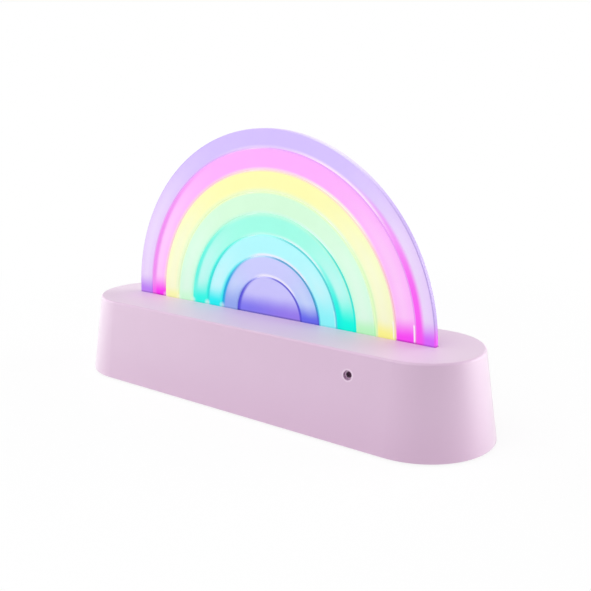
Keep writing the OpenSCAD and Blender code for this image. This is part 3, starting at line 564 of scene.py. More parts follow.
class LAMP_PG_stage(bpy.types.PropertyGroup):
    """Camera and lamps."""

    azimuth: angle_property("Azimuth", "Direction of the camera round the lamp", 37.018)
    elevation: angle_property("Elevation", "Height of the camera over the horizon", 13.66)
    roll: angle_property("Roll", "Turn of the camera about its own axis", -0.441)
    distance: number_property(
        "Distance", "Distance of the camera from its aim", 0.415287, min=0.1, subtype="DISTANCE"
    )
    aim: FloatVectorProperty(
        name="Aim", description="Point that the camera looks at", subtype="XYZ", unit="LENGTH", size=3,
        default=(0.01751, 0.0, 0.058652),
    )
    lens: number_property("Lens", "Focal length in mm", 48.231, min=1)
    ambient: number_property("Ambient", "Brightness of the white room", 0.43)
    key: number_property("Key", "Power of the large lamp above the front in W", 4.9)
    left: number_property("Left", "Power of the lamp on the left in W", 7.6)
    right: number_property("Right", "Power of the lamp on the right in W", 14.2)


class Glow(Finish):
    """Glow of one guide, in layers that are worked out from the place on it.

    side and top are the cosine and sine of the angle round the arch, and right is 1 on the right half.
    height counts from the deck and lift from the end of the tenon. inward and inside are the distances from
    the outer and the inner edge, half is half the width between them, and foot is the share that the foot's
    colour has. The half disc has no inner edge, so that its inside and half stay empty.
    """

    def __init__(self, node, inner, outer, light, beside):
        """inner and outer are the radii of the edges, and beside names the neighbours."""
        super().__init__(node + "_glow")
        self.light = light
        self.beside = beside
        self.shape = GUIDE_SHAPES[node]
        self.colours = getattr(light, node)
        self.place = self.vector(centre=(0, 0, ARCH_Z))
        x, _, z = self.parts(self.place)
        up = self.larger(z, 0.0)
        radius = self.root(x * x + up * up)
        self.side = x / radius
        self.top = up / radius
        self.right = self.rise(x, -22.0, 22.0)
        self.height = z - (DECK_Z - ARCH_Z)
        self.lift = z - (corners(node)[0][2] - ARCH_Z)
        self.inward = outer - radius
        self.inside = None if inner is None else radius - inner
        self.half = None if inner is None else (outer - inner) / 2
        left_rise, right_rise = self.shape.rises
        reach = left_rise + self.right * (right_rise - left_rise)
        wave = self.noise(self.place, 9.0, 1.0) - 0.5
        self.foot = 1 - self.rise(self.height + wave * 2.0, reach * 0.15, reach)

    def ground(self):
        """Flank and crown. The middle of a leg, over its light source, is the palest."""
        flank, crown = self.colours.flank, self.colours.crown
        if self.inside is None:
            return self.mix(self.rise(self.height, 2.0, 13.0), flank, crown)
        share = self.rise(self.top, 0.45, 0.98)
        core = self.smaller(self.inside, self.inward) / self.half
        glow = self.mix(share, flank, crown)
        return self.mix((1 - share) * self.rise(core, 0.1, 1.0) * 0.16, glow, PALE)

    def scatter(self, glow):
        """Light of the neighbours' crowns that comes over the seams."""
        for distance, neighbour, way in zip((self.inward, self.inside), self.beside, self.shape.scatter):
            if way:
                share = (1 - self.rise(distance, -0.4, way)) * 0.5
                glow = self.mix(share, glow, getattr(self.light, neighbour).crown)
        return glow

    def feet(self, glow):
        """Colour of the feet, with a waving upper end."""
        colour = self.mix(self.right, self.colours.foot_left, self.colours.foot_right)
        return self.mix(self.foot, glow, colour)

    def stripe(self, distance, side, widest):
        """Share of a stripe along a seam that widens with side, with a soft edge."""
        width = self.larger(side, 0.0) * widest
        return 1 - self.rise(distance, width * (1 - self.light.soft), width * (1 + self.light.soft))

    def seams(self, glow):
        """Stripes of the seams, and the foot's glow along the inner seam on the left.

        A seam is a wall through the acrylic, whose face shows on the outer side of the seam at the right,
        and on the inner side of it at the left.
        """
        side, widths = self.side, self.shape.widths
        if widths[0]:
            share = self.stripe(self.inward, -side, widths[0]) * self.rise(-side, 0.35, 0.9)
            glow = self.mix(share * (0.96 - self.foot * self.shape.ending), glow, self.colours.seam_left)
        if self.shape.bleed:
            width = self.larger(-side, 0.0) * self.shape.bleed
            share = (1 - self.rise(self.inside, 0.0, width)) * self.rise(-side, 0.2, 0.7) * 0.85
            glow = self.mix(share, glow, self.colours.foot_left)
        if widths[1]:
            share = self.stripe(self.inside, side, widths[1]) * self.rise(side, 0.5, 0.82)
            share = share * (self.rise(side, 0.8, 1.0) * 0.4 + 0.55)
            glow = self.mix(share, glow, self.colours.seam_right)
        return glow

    def glint(self, glow):
        """Painted reflection: white line along the inner seam, over the crown and down to the right."""
        if not self.shape.glint:
            return glow
        start = self.shape.glint_start
        white = self.mix(0.3, GLINT, getattr(self.light, self.beside[1]).crown)
        line = self.rise(self.inside, 0.05, 0.4) * (1 - self.rise(self.inside, 0.8, 2.3))
        span = self.rise(self.side, -0.5, -0.1) * (1 - self.rise(self.side, 0.66, 0.88))
        span = span * (self.rise(self.side, start, start + 0.35) * 0.65 + 0.35)
        return self.mix(line * span * self.shape.glint, glow, white)

    def rim(self, glow):
        """Painted shade line along the outer edge. The outermost guide has a pale painted highlight at the
        right of its crown too.
        """
        start, width = self.shape.rim_start, self.shape.rim_width
        line = 1 - self.rise(self.inward, width * 0.3, width)
        if not self.beside[0]:
            # Painted highlight on the outer edge at the right of the crown
            glow = self.mix(line * self.within(self.side, 0.25, 0.6, 0.2) * 0.45, glow, PALE)
        left_line = self.rise(-self.side, 0.15, 0.7) * self.shape.rim_shades[0]
        right_line = self.rise(self.side, start, start + 0.45) * self.shape.rim_shades[1]
        rim = self.mix(self.foot * self.right, self.colours.rim, self.colours.seam_right)
        return self.mix(line * (left_line + right_line) * 0.85, glow, rim)

    def reflections(self, glow):
        """Painted reflections: white line up the right foot, and white spots at the left foot."""
        if self.shape.foot_reflection_line:
            line = self.within(self.inward, 0.4, 1.2, 0.3) * self.within(self.height, 0.6, 9.0, 0.8)
            glow = self.mix(line * self.right * self.shape.foot_reflection_line, glow, GLINT)
        for share, distance in zip(self.shape.spots, (self.inward, self.inside)):
            if share:
                above = (self.height - SPOT_HIGH) / SPOT_TALL
                away = self.root(distance * distance / SPOT_WIDE_SQUARED + above * above)
                glow = self.mix((1 - self.rise(away, 0.1, 1.2)) * (1 - self.right) * share, glow, GLINT)
        return glow

    def material(self):
        """Lays the layers on each other, then the shade at the deck and the lit tenon under it."""
        glow = self.ground()
        for layer in (self.scatter, self.feet, self.seams, self.glint, self.rim, self.reflections):
            glow = layer(glow)
        glow = self.dim(glow, 1 - self.within(self.height, -1.2, 0.6, 0.6) * self.shape.shade)
        glow = self.mix((1 - self.rise(self.lift, 0.0, LIT_TENON)) * 0.75, glow, GLINT)
        glow = self.dim(glow, self.noise(self.place, 14.0, 1.0) * 0.05 + 0.97)
        return self.surface(
            Base_Color=self.dim(glow, self.light.body),
            Emission_Color=glow,
            Emission_Strength=self.light.glow,
            Roughness=self.noise(self.place, 3.0) * 0.1 + 0.32,
            Specular_IOR_Level=0.2,
            IOR=1.49,
            Normal=self.bump(self.noise(self.place, 6.0, 1.0), 0.02),
        )


class LAMP_OT_guides(bpy.types.Operator):
    """Lights the eight nested guides, each with its own glow"""

    bl_idname = "lamp.guides"
    bl_label = "Light guides"

    def execute(self, context):
        light = context.scene.lamp_light
        nodes = [node for node, *_ in GUIDES]
        reach = [*(corners(node)[1][0] for node in nodes), None]
        around = [None, *nodes, None]
        for place, node in enumerate(nodes):
            beside = (around[place], around[place + 2])
            dress(Glow(node, reach[place + 1], reach[place], light, beside).material(), node)
        return {"FINISHED"}


# Plastics

# X and Z of the middle of the sound opening, and radii of its step and its hole, in mm
PORT = (70.5, 34.2)
PORT_STEP = 2.3
PORT_HOLE = 1.5


def moulded_finish(name, colour, grain, roughness, relief, foot=None):
    """Satin moulded plastic: eroded grain and faint flow clouds.

    With foot, its colour towards the rim, this is the shell's finish: painted shade darkens it towards the
    rim, a painted highlight rings the edge of the sound opening, painted shade darkens its step and its
    hole, and the walls have a smoother skin, which the matt deck lacks.
    """
    made = Finish(name)
    vector = made.vector()
    x, y, z = made.parts(vector)
    if foot is not None:
        # Painted shade: the lower 30 mm of the shell turn towards the darker foot colour
        colour = made.mix(1 - made.rise(z, 0.0, 30.0), colour, foot)
    tint = made.dim(colour, made.noise(vector, 40.0, 1.0) * 0.04 + 0.98)
    shine = {"Sheen_Weight": 0.12, "Specular_IOR_Level": 0.5}
    if foot is not None:
        across, along = x - PORT[0], z - PORT[1]
        away = made.root(across * across + along * along)
        front = 1 - made.rise(y, -20.0, -15.0)
        # Painted highlight round the edge of the opening, painted shade on its step and in its hole
        edge = made.within(away, PORT_STEP + 0.15, PORT_STEP + 0.8, 0.25) * front * 0.5
        step = 1 - made.rise(away, PORT_STEP - 0.02, PORT_STEP + 0.06)
        step = step * made.rise(away, PORT_STEP - 0.4, PORT_STEP - 0.1) * front
        hole = (1 - made.rise(away, PORT_HOLE, PORT_HOLE + 0.1)) * front
        tint = made.layers(tint, (edge, (244, 220, 240)), (step, (150, 96, 144)), (hole, (104, 62, 98)))
        skin = 1 - made.rise(z, DECK_Z - 1.6, DECK_Z - 0.2)
        shine = {
            "Sheen_Weight": 0.75, "Specular_IOR_Level": 1.0, "Coat_Weight": skin, "Coat_Roughness": 0.45,
        }
    pits = made.noise(vector, grain, 3.0, 0.6)
    speckle = made.cells(vector, grain * 1.6)
    return made.surface(
        Base_Color=tint,
        Roughness=roughness + (pits - 0.5) * 0.12,
        Sheen_Roughness=0.5,
        Normal=made.bump(pits * 0.7 + speckle * 0.3, relief, 0.6),
        **shine,
    )


class LAMP_OT_housing(bpy.types.Operator):
    """Gives the housing and its button the satin pastel shell"""

    bl_idname = "lamp.housing"
    bl_label = "Housing"

    def execute(self, context):
        plastic = context.scene.lamp_plastic
        shell = moulded_finish(
            "shell_plastic", plastic.shell, plastic.grain, plastic.roughness, 0.03, plastic.shell_foot_shade
        )
        dress(shell, "housing", "power_button")
        return {"FINISHED"}


class LAMP_OT_underside(bpy.types.Operator):
    """Finishes the base plate, the battery door and the rubber feet"""

    bl_idname = "lamp.underside"
    bl_label = "Underside"

    def execute(self, context):
        plastic = context.scene.lamp_plastic
        under = moulded_finish("under_plastic", plastic.under, plastic.grain * 1.6, 0.55, 0.03)
        dress(under, "base_plate", "battery_door")
        dress(soft_finish("foot_rubber", linear(134, 124, 134), 0.7, 0.75, 0.15, 0.04), "rubber_feet")
        return {"FINISHED"}


# Metals, rubber and boards

def metal_finish(name, colour, roughness, grain=(1, 1, 1), tarnish=None):
    """Bare or plated metal: drawn streaks, cloudy gloss and, if given, a faint tint of its plating."""
    made = Finish(name)
    streak = made.noise(made.vector(stretch=grain), 1.4, 3.0)
    cloud = made.noise(made.vector(), 3.5, 2.0)
    tint = made.dim(colour, streak * 0.16 + 0.92)
    if tarnish is not None:
        tint = made.mix(made.rise(cloud, 0.45, 0.75) * 0.5, tint, tarnish)
    return made.surface(
        Base_Color=tint,
        Metallic=1.0,
        Roughness=roughness + (cloud - 0.5) * 0.18,
        Normal=made.bump(streak, 0.01, 0.4),
    )


def board_finish(node, mask, copper, pitch):
    """Circuit board: solder mask over tracks and ringed holes, and the bare glass weave at its edges.

    Tracks run along X or Y in patches. A hole lies where a noise on the grid of holes is high.
    """
    made = Finish(node + "_mask")
    vector = made.vector()
    x, y, z = made.parts(vector)
    patch = made.rise(made.noise(vector, 9.0, 0.0), 0.48, 0.52)
    lane_x = abs(made.math("FRACT", x / pitch) - 0.5)
    lane_y = abs(made.math("FRACT", y / pitch) - 0.5)
    lane = lane_x * patch + lane_y * (1 - patch)
    track = (1 - made.rise(lane, 0.1, 0.16)) * made.rise(made.noise(vector, 4.0, 0.0), 0.42, 0.46)
    away = made.root(lane_x * lane_x + lane_y * lane_y) * pitch
    drilled = made.rise(made.noise(vector, 2.3, 0.0), 0.6, 0.62)
    ring = made.within(away, 0.22, 0.45, 0.02) * drilled
    hole = (1 - made.rise(away, 0.18, 0.22)) * drilled
    weave = made.math("SINE", x * 9.0) * made.math("SINE", y * 9.0)
    low, high = corners(node)
    edge = 1 - made.within(z, low[2] + 0.08, high[2] - 0.08, 0.03)
    tint = made.mix(track * 0.45, linear(*mask), linear(*copper))
    tint = made.layers(tint, (ring, (206, 202, 196)), (hole, (24, 26, 24)))
    tint = made.mix(edge, linear(176, 170, 128), tint)
    return made.surface(
        Base_Color=made.dim(tint, weave * 0.03 + 1.0),
        Metallic=ring * edge,
        Roughness=0.34 + (1 - edge) * 0.4 - ring * 0.1,
        Normal=made.bump(track + ring * 1.4 - hole * 2.0 + weave * 0.1, 0.035, 0.8),
    )


def soft_finish(name, colour, grain, roughness, sheen, depth):
    """Felt, rubber or wire jacket: fine irregular relief with a soft sheen."""
    made = Finish(name)
    vector = made.vector()
    fuzz = made.noise(vector, grain, 4.0, 0.7)
    return made.surface(
        Base_Color=made.dim(colour, fuzz * 0.5 + 0.75),
        Roughness=roughness + (fuzz - 0.5) * 0.2,
        Specular_IOR_Level=0.35,
        Sheen_Weight=sheen,
        Sheen_Roughness=0.6,
        Normal=made.bump(fuzz, depth, 0.6),
    )


def jacket_finish(name, colours):
    """Wire insulation with a faint ripple. Each wire's mark is the place of its colour in colours."""
    made = Finish(name)
    mark = made.mark()
    tint = colours[0]
    for place, colour in enumerate(colours[1:]):
        tint = made.mix(made.rise(mark, place + 0.45, place + 0.55), tint, colour)
    ripple = made.noise(made.vector(), 1.1, 2.0)
    return made.surface(
        Base_Color=made.dim(tint, ripple * 0.14 + 0.93),
        Roughness=0.42 + ripple * 0.12,
        Specular_IOR_Level=0.45,
        Normal=made.bump(ripple, 0.03, 0.5),
    )


class LAMP_OT_clamp(bpy.types.Operator):
    """Finishes the clamp that holds the legs of the guides"""

    bl_idname = "lamp.clamp"
    bl_label = "Guide clamp"

    def execute(self, context):
        plastic = context.scene.lamp_plastic
        white = moulded_finish("clamp_plastic", plastic.inner, plastic.grain * 2, 0.4, 0.015)
        dress(white, "guide_clamp_front", "guide_clamp_rear")
        return {"FINISHED"}


# Screws: node, body, axis, places of the head's underside, shank radius, length and pitch, in mm
SCREWS = [
    ("housing_screws", "root", (0, 0, 1), [
        (x, y, 4.0) for x, y in (
            (-108.1, -10.65), (-108.1, 10.65), (108.1, -10.65), (108.1, 10.65),
            (-41.0, -23.8), (-41.0, 23.8), (41.0, -23.8), (41.0, 23.8),
        )
    ], 1.25, 11.0, 1.1),
    ("clamp_screws", "root", (0, 1, 0), [(x, -5.35, 36.35) for x in (-103.5, 0.0, 103.5)], 0.9, 8.3, 0.8),
    ("clamp_mount_screws", "root", (0, 0, 1), [
        (x, y, 29.5) for x in (-72.95, 72.95) for y in (-9.35, 9.35)
    ], 0.9, 9.0, 0.8),
    ("led_board_screws", "root", (0, 0, 1), [
        (x, -3.5, 27.9) for x in (-103.5, -33.5, 33.5, 103.5)
    ], 0.9, 5.6, 0.8),
    ("control_board_screws", "root", (0, 0, -1), [
        (x, y, 12.0) for x in (48.5, 88.5) for y in (-7.0, 19.3)
    ], 0.9, 5.6, 0.8),
    ("battery_door_screw", "battery_door", (0, 0, 1), [(0.0, 26.9, 3.2)], 0.9, 7.0, 0.8),
]
# Plain lengths of a shank under its head and at its tip, and height of the ridges, in mm
SHANK_PLAIN = 2.2
TIP_PLAIN = 0.3
RIDGE = 0.2


class LAMP_OT_screws(bpy.types.Operator):
    """Plates the screws and cuts the ridges of their threads"""

    bl_idname = "lamp.screws"
    bl_label = "Screws"

    def execute(self, context):
        metal = context.scene.lamp_metal
        zinc = metal_finish("zinc_plate", metal.zinc, 0.32, tarnish=linear(188, 196, 214))
        for node, body, axis, places, radius, length, pitch in SCREWS:
            dress(zinc, node)
            rows = thread(places, axis, radius, SHANK_PLAIN, length - TIP_PLAIN, pitch, RIDGE)
            piece(node + "_thread", [rows], zinc, body)
        return {"FINISHED"}


# Places along X of the three sources under the half disc, in mm
DISC_SOURCES = (-13.26, 0.0, 13.26)
# Shift of a resistor from its light source along X and Y, and half sizes of one, in mm
RESISTOR_SHIFT = (3.4, 2.6)
RESISTOR_HALF = (0.8, 0.42, 0.3)


def board_parts(name, rows):
    """Small two-ended parts. The mark is the share of the half length from the middle."""
    copies = rows.shape[0]
    middle = rows.reshape(copies, -1, 3).mean(1)
    points = closed_shells(rows)[0].reshape(copies, -1, 3)
    mark = np.abs(points[..., 0] - middle[:, None, 0])
    made = Finish(name + "_finish")
    end = made.rise(made.mark(), 0.5, 0.54)
    grit = made.noise(made.vector(), 0.3, 2.0)
    tint = made.layers(linear(34, 32, 34), (end, (204, 204, 206)))
    finish = made.surface(
        Base_Color=made.dim(tint, grit * 0.2 + 0.9),
        Metallic=end,
        Roughness=0.42 + grit * 0.1,
        Normal=made.bump(grit + end, 0.02, 0.5),
    )
    piece(name, [rows], finish, "root", marks=[(mark / mark.max()).ravel()])


class LAMP_OT_lights(bpy.types.Operator):
    """Finishes the board under the clamp and its light sources, with their domes and resistors"""

    bl_idname = "lamp.lights"
    bl_label = "Light sources"

    def execute(self, context):
        reach = [corners(node)[1][0] for node, *_ in GUIDES]
        legs = [(outer + inner) / 2 for outer, inner in zip(reach, reach[1:])]
        places = [side * leg for leg in legs for side in (-1, 1)] + list(DISC_SOURCES)
        dress(board_finish("led_board", (240, 241, 238), (222, 224, 216), 2.6), "led_board")
        self.bodies()
        self.domes(context.scene.lamp_light.source, places)
        level = corners("led_board")[0][2] - RESISTOR_HALF[2]
        centres = [(x + RESISTOR_SHIFT[0], RESISTOR_SHIFT[1], level) for x in places]
        board_parts("led_board_resistors", blunt_blocks(centres, RESISTOR_HALF))
        return {"FINISHED"}

    def bodies(self):
        """White bodies with bare legs."""
        made = Finish("led_body")
        vector = made.vector()
        z = made.parts(vector)[2]
        foot = corners("leds")[0][2]
        leg = 1 - made.rise(z, foot + 0.3, foot + 0.5)
        grit = made.noise(vector, 0.4, 2.0)
        tint = made.layers(linear(248, 246, 240), (leg, (206, 206, 208)))
        dress(made.surface(
            Base_Color=made.dim(tint, grit * 0.1 + 0.94),
            Metallic=leg,
            Roughness=0.35 + grit * 0.15,
            Normal=made.bump(grit, 0.01, 0.4),
        ), "leds")

    def domes(self, power, places):
        """Flat domes of phosphor, whose glow has the given power, sunk a little in their bodies."""
        made = Finish("led_phosphor")
        grains = made.noise(made.vector(), 0.12, 3.0)
        phosphor = made.surface(
            Base_Color=made.dim(linear(252, 240, 176), grains * 0.3 + 0.85),
            Emission_Color=made.dim(linear(255, 250, 236), grains * 0.2 + 0.9),
            Emission_Strength=power,
            Roughness=0.18,
            Coat_Weight=0.6,
            Normal=made.bump(grains, 0.01, 0.3),
        )
        cap = np.radians(np.linspace(0, 80, 7))
        wide, tall, sunk = 1.08, 0.26, 0.02
        dome = [(wide, -0.38)] + [(wide * math.cos(a), tall * math.sin(a) - sunk) for a in cap]
        level = corners("leds")[1][2]
        piece("led_domes", [turned([(x, 0, level) for x in places], dome)], phosphor, "root")


# Places on the control board, along X and Y, of its small parts, and half sizes of one, in mm
SMALL_PARTS = [
    (60.0, 8.0), (60.0, 11.5), (76.3, 12.0), (76.3, 15.5), (66.0, 18.4), (70.2, 18.4), (66.0, 5.6),
    (70.2, 5.6), (78.4, 19.0), (82.4, 16.4), (52.0, 10.0), (52.0, 13.4), (52.0, 16.8), (66.0, 21.6),
]
SMALL_PART_HALF = (0.85, 0.45, 0.32)
SMALL_PART_LIFT = 0.3


class LAMP_OT_control(bpy.types.Operator):
    """Finishes the control board with its chip, capacitor, sockets, switch and power inlet"""

    bl_idname = "lamp.control"
    bl_label = "Control board"

    def execute(self, context):
        dress(board_finish("control_board", (38, 104, 66), (62, 140, 84), 1.9), "control_board")
        self.chip()
        self.capacitor()
        self.sockets(context)
        self.switch()
        self.inlet()
        level = corners("control_board")[1][2] + SMALL_PART_LIFT
        board_parts("control_parts", blunt_blocks([(x, y, level) for x, y in SMALL_PARTS], SMALL_PART_HALF))
        return {"FINISHED"}

    def chip(self):
        """Black epoxy with bare legs and a moulded dot at its first leg."""
        made = Finish("chip_epoxy")
        vector = made.vector()
        x, y, z = made.parts(vector)
        low, high = corners("control_chip")
        leg = 1 - made.within(y, low[1] + 0.99, high[1] - 0.99, 0.02)
        across = x - (low[0] + 1.2)
        along = y - ((low[1] + high[1]) / 2 - 1.1)
        away_squared = across * across + along * along
        dot = (1 - made.rise(away_squared, 0.12, 0.2)) * made.rise(z, high[2] - 0.1, high[2] - 0.05)
        grit = made.noise(vector, 0.18, 2.0)
        tint = made.layers(linear(36, 36, 39), (leg, (204, 205, 208)), (dot, (70, 70, 74)))
        dress(made.surface(
            Base_Color=made.dim(tint, grit * 0.3 + 0.86),
            Metallic=leg,
            Roughness=0.5 + grit * 0.2 - leg * 0.2,
            Normal=made.bump(grit * 0.4 - dot, 0.04, 0.6),
        ), "control_chip")

    def capacitor(self):
        """Blue sleeve with a pale stripe and a crimp round its foot, and a bare top with a vent's cross."""
        low, high = corners("capacitor")
        middle = (low + high) / 2
        made = Finish("capacitor_sleeve")
        vector = made.vector(centre=(middle[0], middle[1], low[2]))
        x, y, z = made.parts(vector)
        radius = made.root(x * x + y * y)
        tall = high[2] - low[2]
        top = made.rise(z, tall - 0.12, tall - 0.06) * (1 - made.rise(radius, 2.6, 2.7))
        stripe = made.rise(-x, 2.0, 2.1)
        vent = (1 - made.rise(made.smaller(abs(x), abs(y)), 0.08, 0.16)) * top
        crimp = made.within(z, 1.0, 1.6, 0.15)
        shrink = made.noise(vector, 1.2, 2.0)
        tint = made.layers(linear(40, 50, 96), (stripe, (196, 202, 214)), (top, (212, 212, 214)))
        dress(made.surface(
            Base_Color=made.dim(tint, shrink * 0.12 + 0.93),
            Metallic=top,
            Roughness=0.3 + shrink * 0.12,
            Normal=made.bump(shrink * 0.2 - vent - crimp, 0.12, 0.7),
        ), "capacitor")

    def sockets(self, context):
        """Pale nylon."""
        grain = context.scene.lamp_plastic.grain
        dress(moulded_finish("socket_nylon", linear(240, 234, 214), grain, 0.5, 0.01), "wire_sockets")

    def switch(self):
        """Black body with a bare steel plate on its face, and a nylon plunger."""
        made = Finish("switch_body")
        vector = made.vector()
        y = made.parts(vector)[1]
        face = corners("button_switch")[1][1]
        plate = made.rise(y, face - 0.5, face - 0.42)
        grit = made.noise(vector, 0.5, 2.0)
        tint = made.layers(linear(40, 40, 44), (plate, (198, 199, 202)))
        dress(made.surface(
            Base_Color=made.dim(tint, grit * 0.2 + 0.9),
            Metallic=plate,
            Roughness=0.4 + grit * 0.15,
            Normal=made.bump(grit + plate, 0.02, 0.5),
        ), "button_switch")
        dress(moulded_finish("plunger_nylon", linear(232, 228, 220), 0.4, 0.45, 0.01), "switch_plunger")

    def inlet(self):
        """Drawn steel shell with a seam below, and a black tongue with gilt fingers in it."""
        low, high = corners("usb_inlet")
        middle = (low + high) / 2
        made = Finish("inlet_shell")
        x, y, z = made.parts(made.vector(centre=(middle[0], high[1], middle[2])))
        tongue = made.within(x, -3.36, 3.36, 0.01) * made.within(z, -0.36, 0.36, 0.01)
        tongue = tongue * (1 - made.rise(y, -0.3, -0.2)) * made.rise(y, -6.3, -6.2)
        finger = made.within(made.math("FRACT", x / 0.5 + 0.25), 0.2, 0.8, 0.06)
        finger = finger * made.rise(abs(z), 0.3, 0.33) * made.within(y, -5.0, -1.2, 0.05) * tongue
        seam = made.within(x, -0.06, 0.06, 0.03) * (1 - made.rise(z, -1.5, -1.4))
        drawn = made.noise(made.vector(stretch=(4, 0.5, 4)), 1.2, 3.0)
        tint = made.layers(linear(196, 198, 203), (tongue, (30, 30, 33)), (finger, (222, 184, 98)))
        dress(made.surface(
            Base_Color=made.dim(tint, drawn * 0.14 + 0.93),
            Metallic=made.larger(1 - tongue, finger),
            Roughness=0.26 + drawn * 0.16,
            Normal=made.bump(drawn * 0.2 - seam, 0.05, 0.5),
        ), "usb_inlet")


class LAMP_OT_sound(bpy.types.Operator):
    """Finishes the microphone, its felt and its rubber cup"""

    bl_idname = "lamp.sound"
    bl_label = "Microphone"

    def execute(self, context):
        metal = context.scene.lamp_metal
        dress(metal_finish("microphone_can", metal.tin, 0.3, (1, 3, 1)), "microphone")
        dress(soft_finish("felt", linear(112, 66, 104), 0.25, 0.9, 0.4, 0.12), "microphone_felt")
        dress(soft_finish("sleeve_rubber", linear(46, 40, 48), 0.6, 0.7, 0.1, 0.03), "microphone_sleeve")
        return {"FINISHED"}


# Length of a cell's button in mm
CELL_BUTTON = 1.1


def cell_rows():
    """Distance between neighbouring cells, and height of their axes, in mm."""
    low, high = corners("battery_cells")
    wide, tall = high[1] - low[1], high[2] - low[2]
    return (wide - tall) / 2, (low[2] + high[2]) / 2


class LAMP_OT_power(bpy.types.Operator):
    """Finishes the cells and their plates, and winds the contact springs"""

    bl_idname = "lamp.power"
    bl_label = "Cells and contacts"

    def execute(self, context):
        metal = context.scene.lamp_metal
        nickel = metal_finish("nickel_plate", metal.nickel, 0.24, (1, 5, 1))
        dress(nickel, "contact_plates")
        self.cells()
        self.springs(nickel)
        return {"FINISHED"}

    def cells(self):
        """Jackets with a darker shoulder at the plus end, and bare ends. The middle cell points back."""
        _, high = corners("battery_cells")
        pitch, level = cell_rows()
        made = Finish("cell_jacket")
        vector = made.vector(centre=(0, 0, level))
        x, y, z = made.parts(vector)
        middle = 1 - made.rise(abs(y), pitch / 2 - 0.1, pitch / 2 + 0.1)
        way = x * (1 - middle * 2)
        back = made.rise(y, pitch / 2 - 0.1, pitch / 2 + 0.1)
        front = made.rise(-y, pitch / 2 - 0.1, pitch / 2 + 0.1)
        beside = y - back * pitch + front * pitch
        radius = made.root(beside * beside + z * z)
        plus = high[0] - CELL_BUTTON
        body = made.rise(radius, 6.6, 6.7)
        bare = made.larger(1 - body, made.rise(way, plus - 0.02, plus + 0.02))
        seal = made.within(radius, 3.2, 4.6, 0.1) * made.rise(way, 0.0, 1.0)
        shoulder = made.rise(way, plus - 12.6, plus - 12.4)
        line = made.within(way, plus - 13.6, plus - 13.2, 0.05)
        foil = made.noise(made.vector(stretch=(0.3, 4, 4)), 1.6, 3.0)
        lap = made.noise(vector, 8.0, 1.0)
        tint = made.layers(
            linear(201, 203, 209), (shoulder, (84, 88, 98)), (line, (236, 236, 240)),
            (bare, (212, 212, 214)), (seal * bare, (60, 60, 64)),
        )
        dress(made.surface(
            Base_Color=made.dim(tint, foil * 0.12 + 0.94),
            Metallic=made.larger(bare * (1 - seal), (1 - bare) * 0.55),
            Roughness=0.3 + (foil - 0.5) * 0.1 + lap * 0.08,
            Coat_Weight=(1 - bare) * 0.5,
            Normal=made.bump(foil * 0.2 - line * 0.5 - seal, 0.05, 0.5),
        ), "battery_cells")

    def springs(self, nickel):
        """Cone springs: wire carried along a helix about X whose radius falls from base to tip.

        The ends lie almost flat, as ground ends do. The climb between them is the smooth step of the way,
        mixed with the way itself. The middle spring is the mirror image.
        """
        wire, turns, base, tip, rise = 0.35, 3.5, 4.6, 2.4, 4.1
        flat_end, smooth_share, steps_a_turn, sides = 0.12, 0.35, 26, 12
        low, _ = corners("contact_springs")
        pitch, level = cell_rows()
        way = np.linspace(0, 1, int(turns * steps_a_turn) + 1)[:, None]
        climb = np.clip((way - flat_end) / (1 - 2 * flat_end), 0, 1)
        smooth = climb * climb * (3 - 2 * climb)
        climb = smooth * smooth_share + climb * (1 - smooth_share)
        round_wire = round_turn(sides)[None]
        radius = base + (tip - base) * way + wire * np.cos(round_wire)
        angle = 2 * np.pi * turns * way
        x = low[0] + wire + rise * climb - wire * np.sin(round_wire)
        y, z = radius * np.cos(angle), radius * np.sin(angle)
        shells = [
            np.stack([side * x, place * pitch + y, level + z], -1)[None, :, ::side]
            for place, side in ((-1, 1), (0, -1), (1, 1))
        ]
        piece("spring_coils", shells, nickel, "root", "contact_springs")


# Wires: name, node, direction that their rings are turned by, jackets, and the stops of each wire in mm
WIRES = [
    ("battery_wires", "battery_leads", (1, 0, 0.3), ((190, 48, 50), (38, 38, 42)), [
        [(32.55, 14.8, 15.5), (36, 14, 16.5), (40, 10, 19), (44, 5, 21), (46.5, 2, 20.1), (46.5, 1, 17.1),
         (46.5, 1, 13.1)],
        [(32.55, -14.8, 15.5), (36, -14, 16.5), (40, -9, 19), (44.5, -3, 21.5), (48.5, 0, 20.6),
         (48.5, 1, 17.1), (48.5, 1, 13.1)],
    ]),
    ("led_wires", "led_leads", (1, 0, 0), ((190, 48, 50), (232, 228, 220), (38, 38, 42)), [
        [(x, -2, 27.8), (x, -2, 25.4), (x, -3, 18.1), (x, -3, 13.1)] for x in (60, 62, 64)
    ]),
    ("microphone_wires", "microphone_leads", (1, 0, 0), ((190, 48, 50), (38, 38, 42)), [
        [(71.8, -22.04, 34.2), (71.8, -19.04, 33.2), (73, -17, 27), (75.5, -10, 22), (77, -6, 19.1),
         (77, -6, 13.1)],
        [(69.2, -22.04, 34.2), (69.2, -19.04, 33.2), (70.5, -17, 27), (73, -10, 22), (75, -6, 19.1),
         (75, -6, 13.1)],
    ]),
]
WIRE_RADIUS = 0.6
# Share of its radius that a wire is drawn in to at its ends
WIRE_END = 0.8
# Places of solder on the tabs of the contact plates, and its profile as (radius, height), in mm
SOLDER_PLACES = [(31.3, -14.8, 15.7), (31.3, 14.8, 15.7)]
SOLDER_DROP = [(1.15, 0.0), (1.1, 0.14), (0.9, 0.36), (0.62, 0.62), (0.4, 0.8), (0.2, 0.88)]


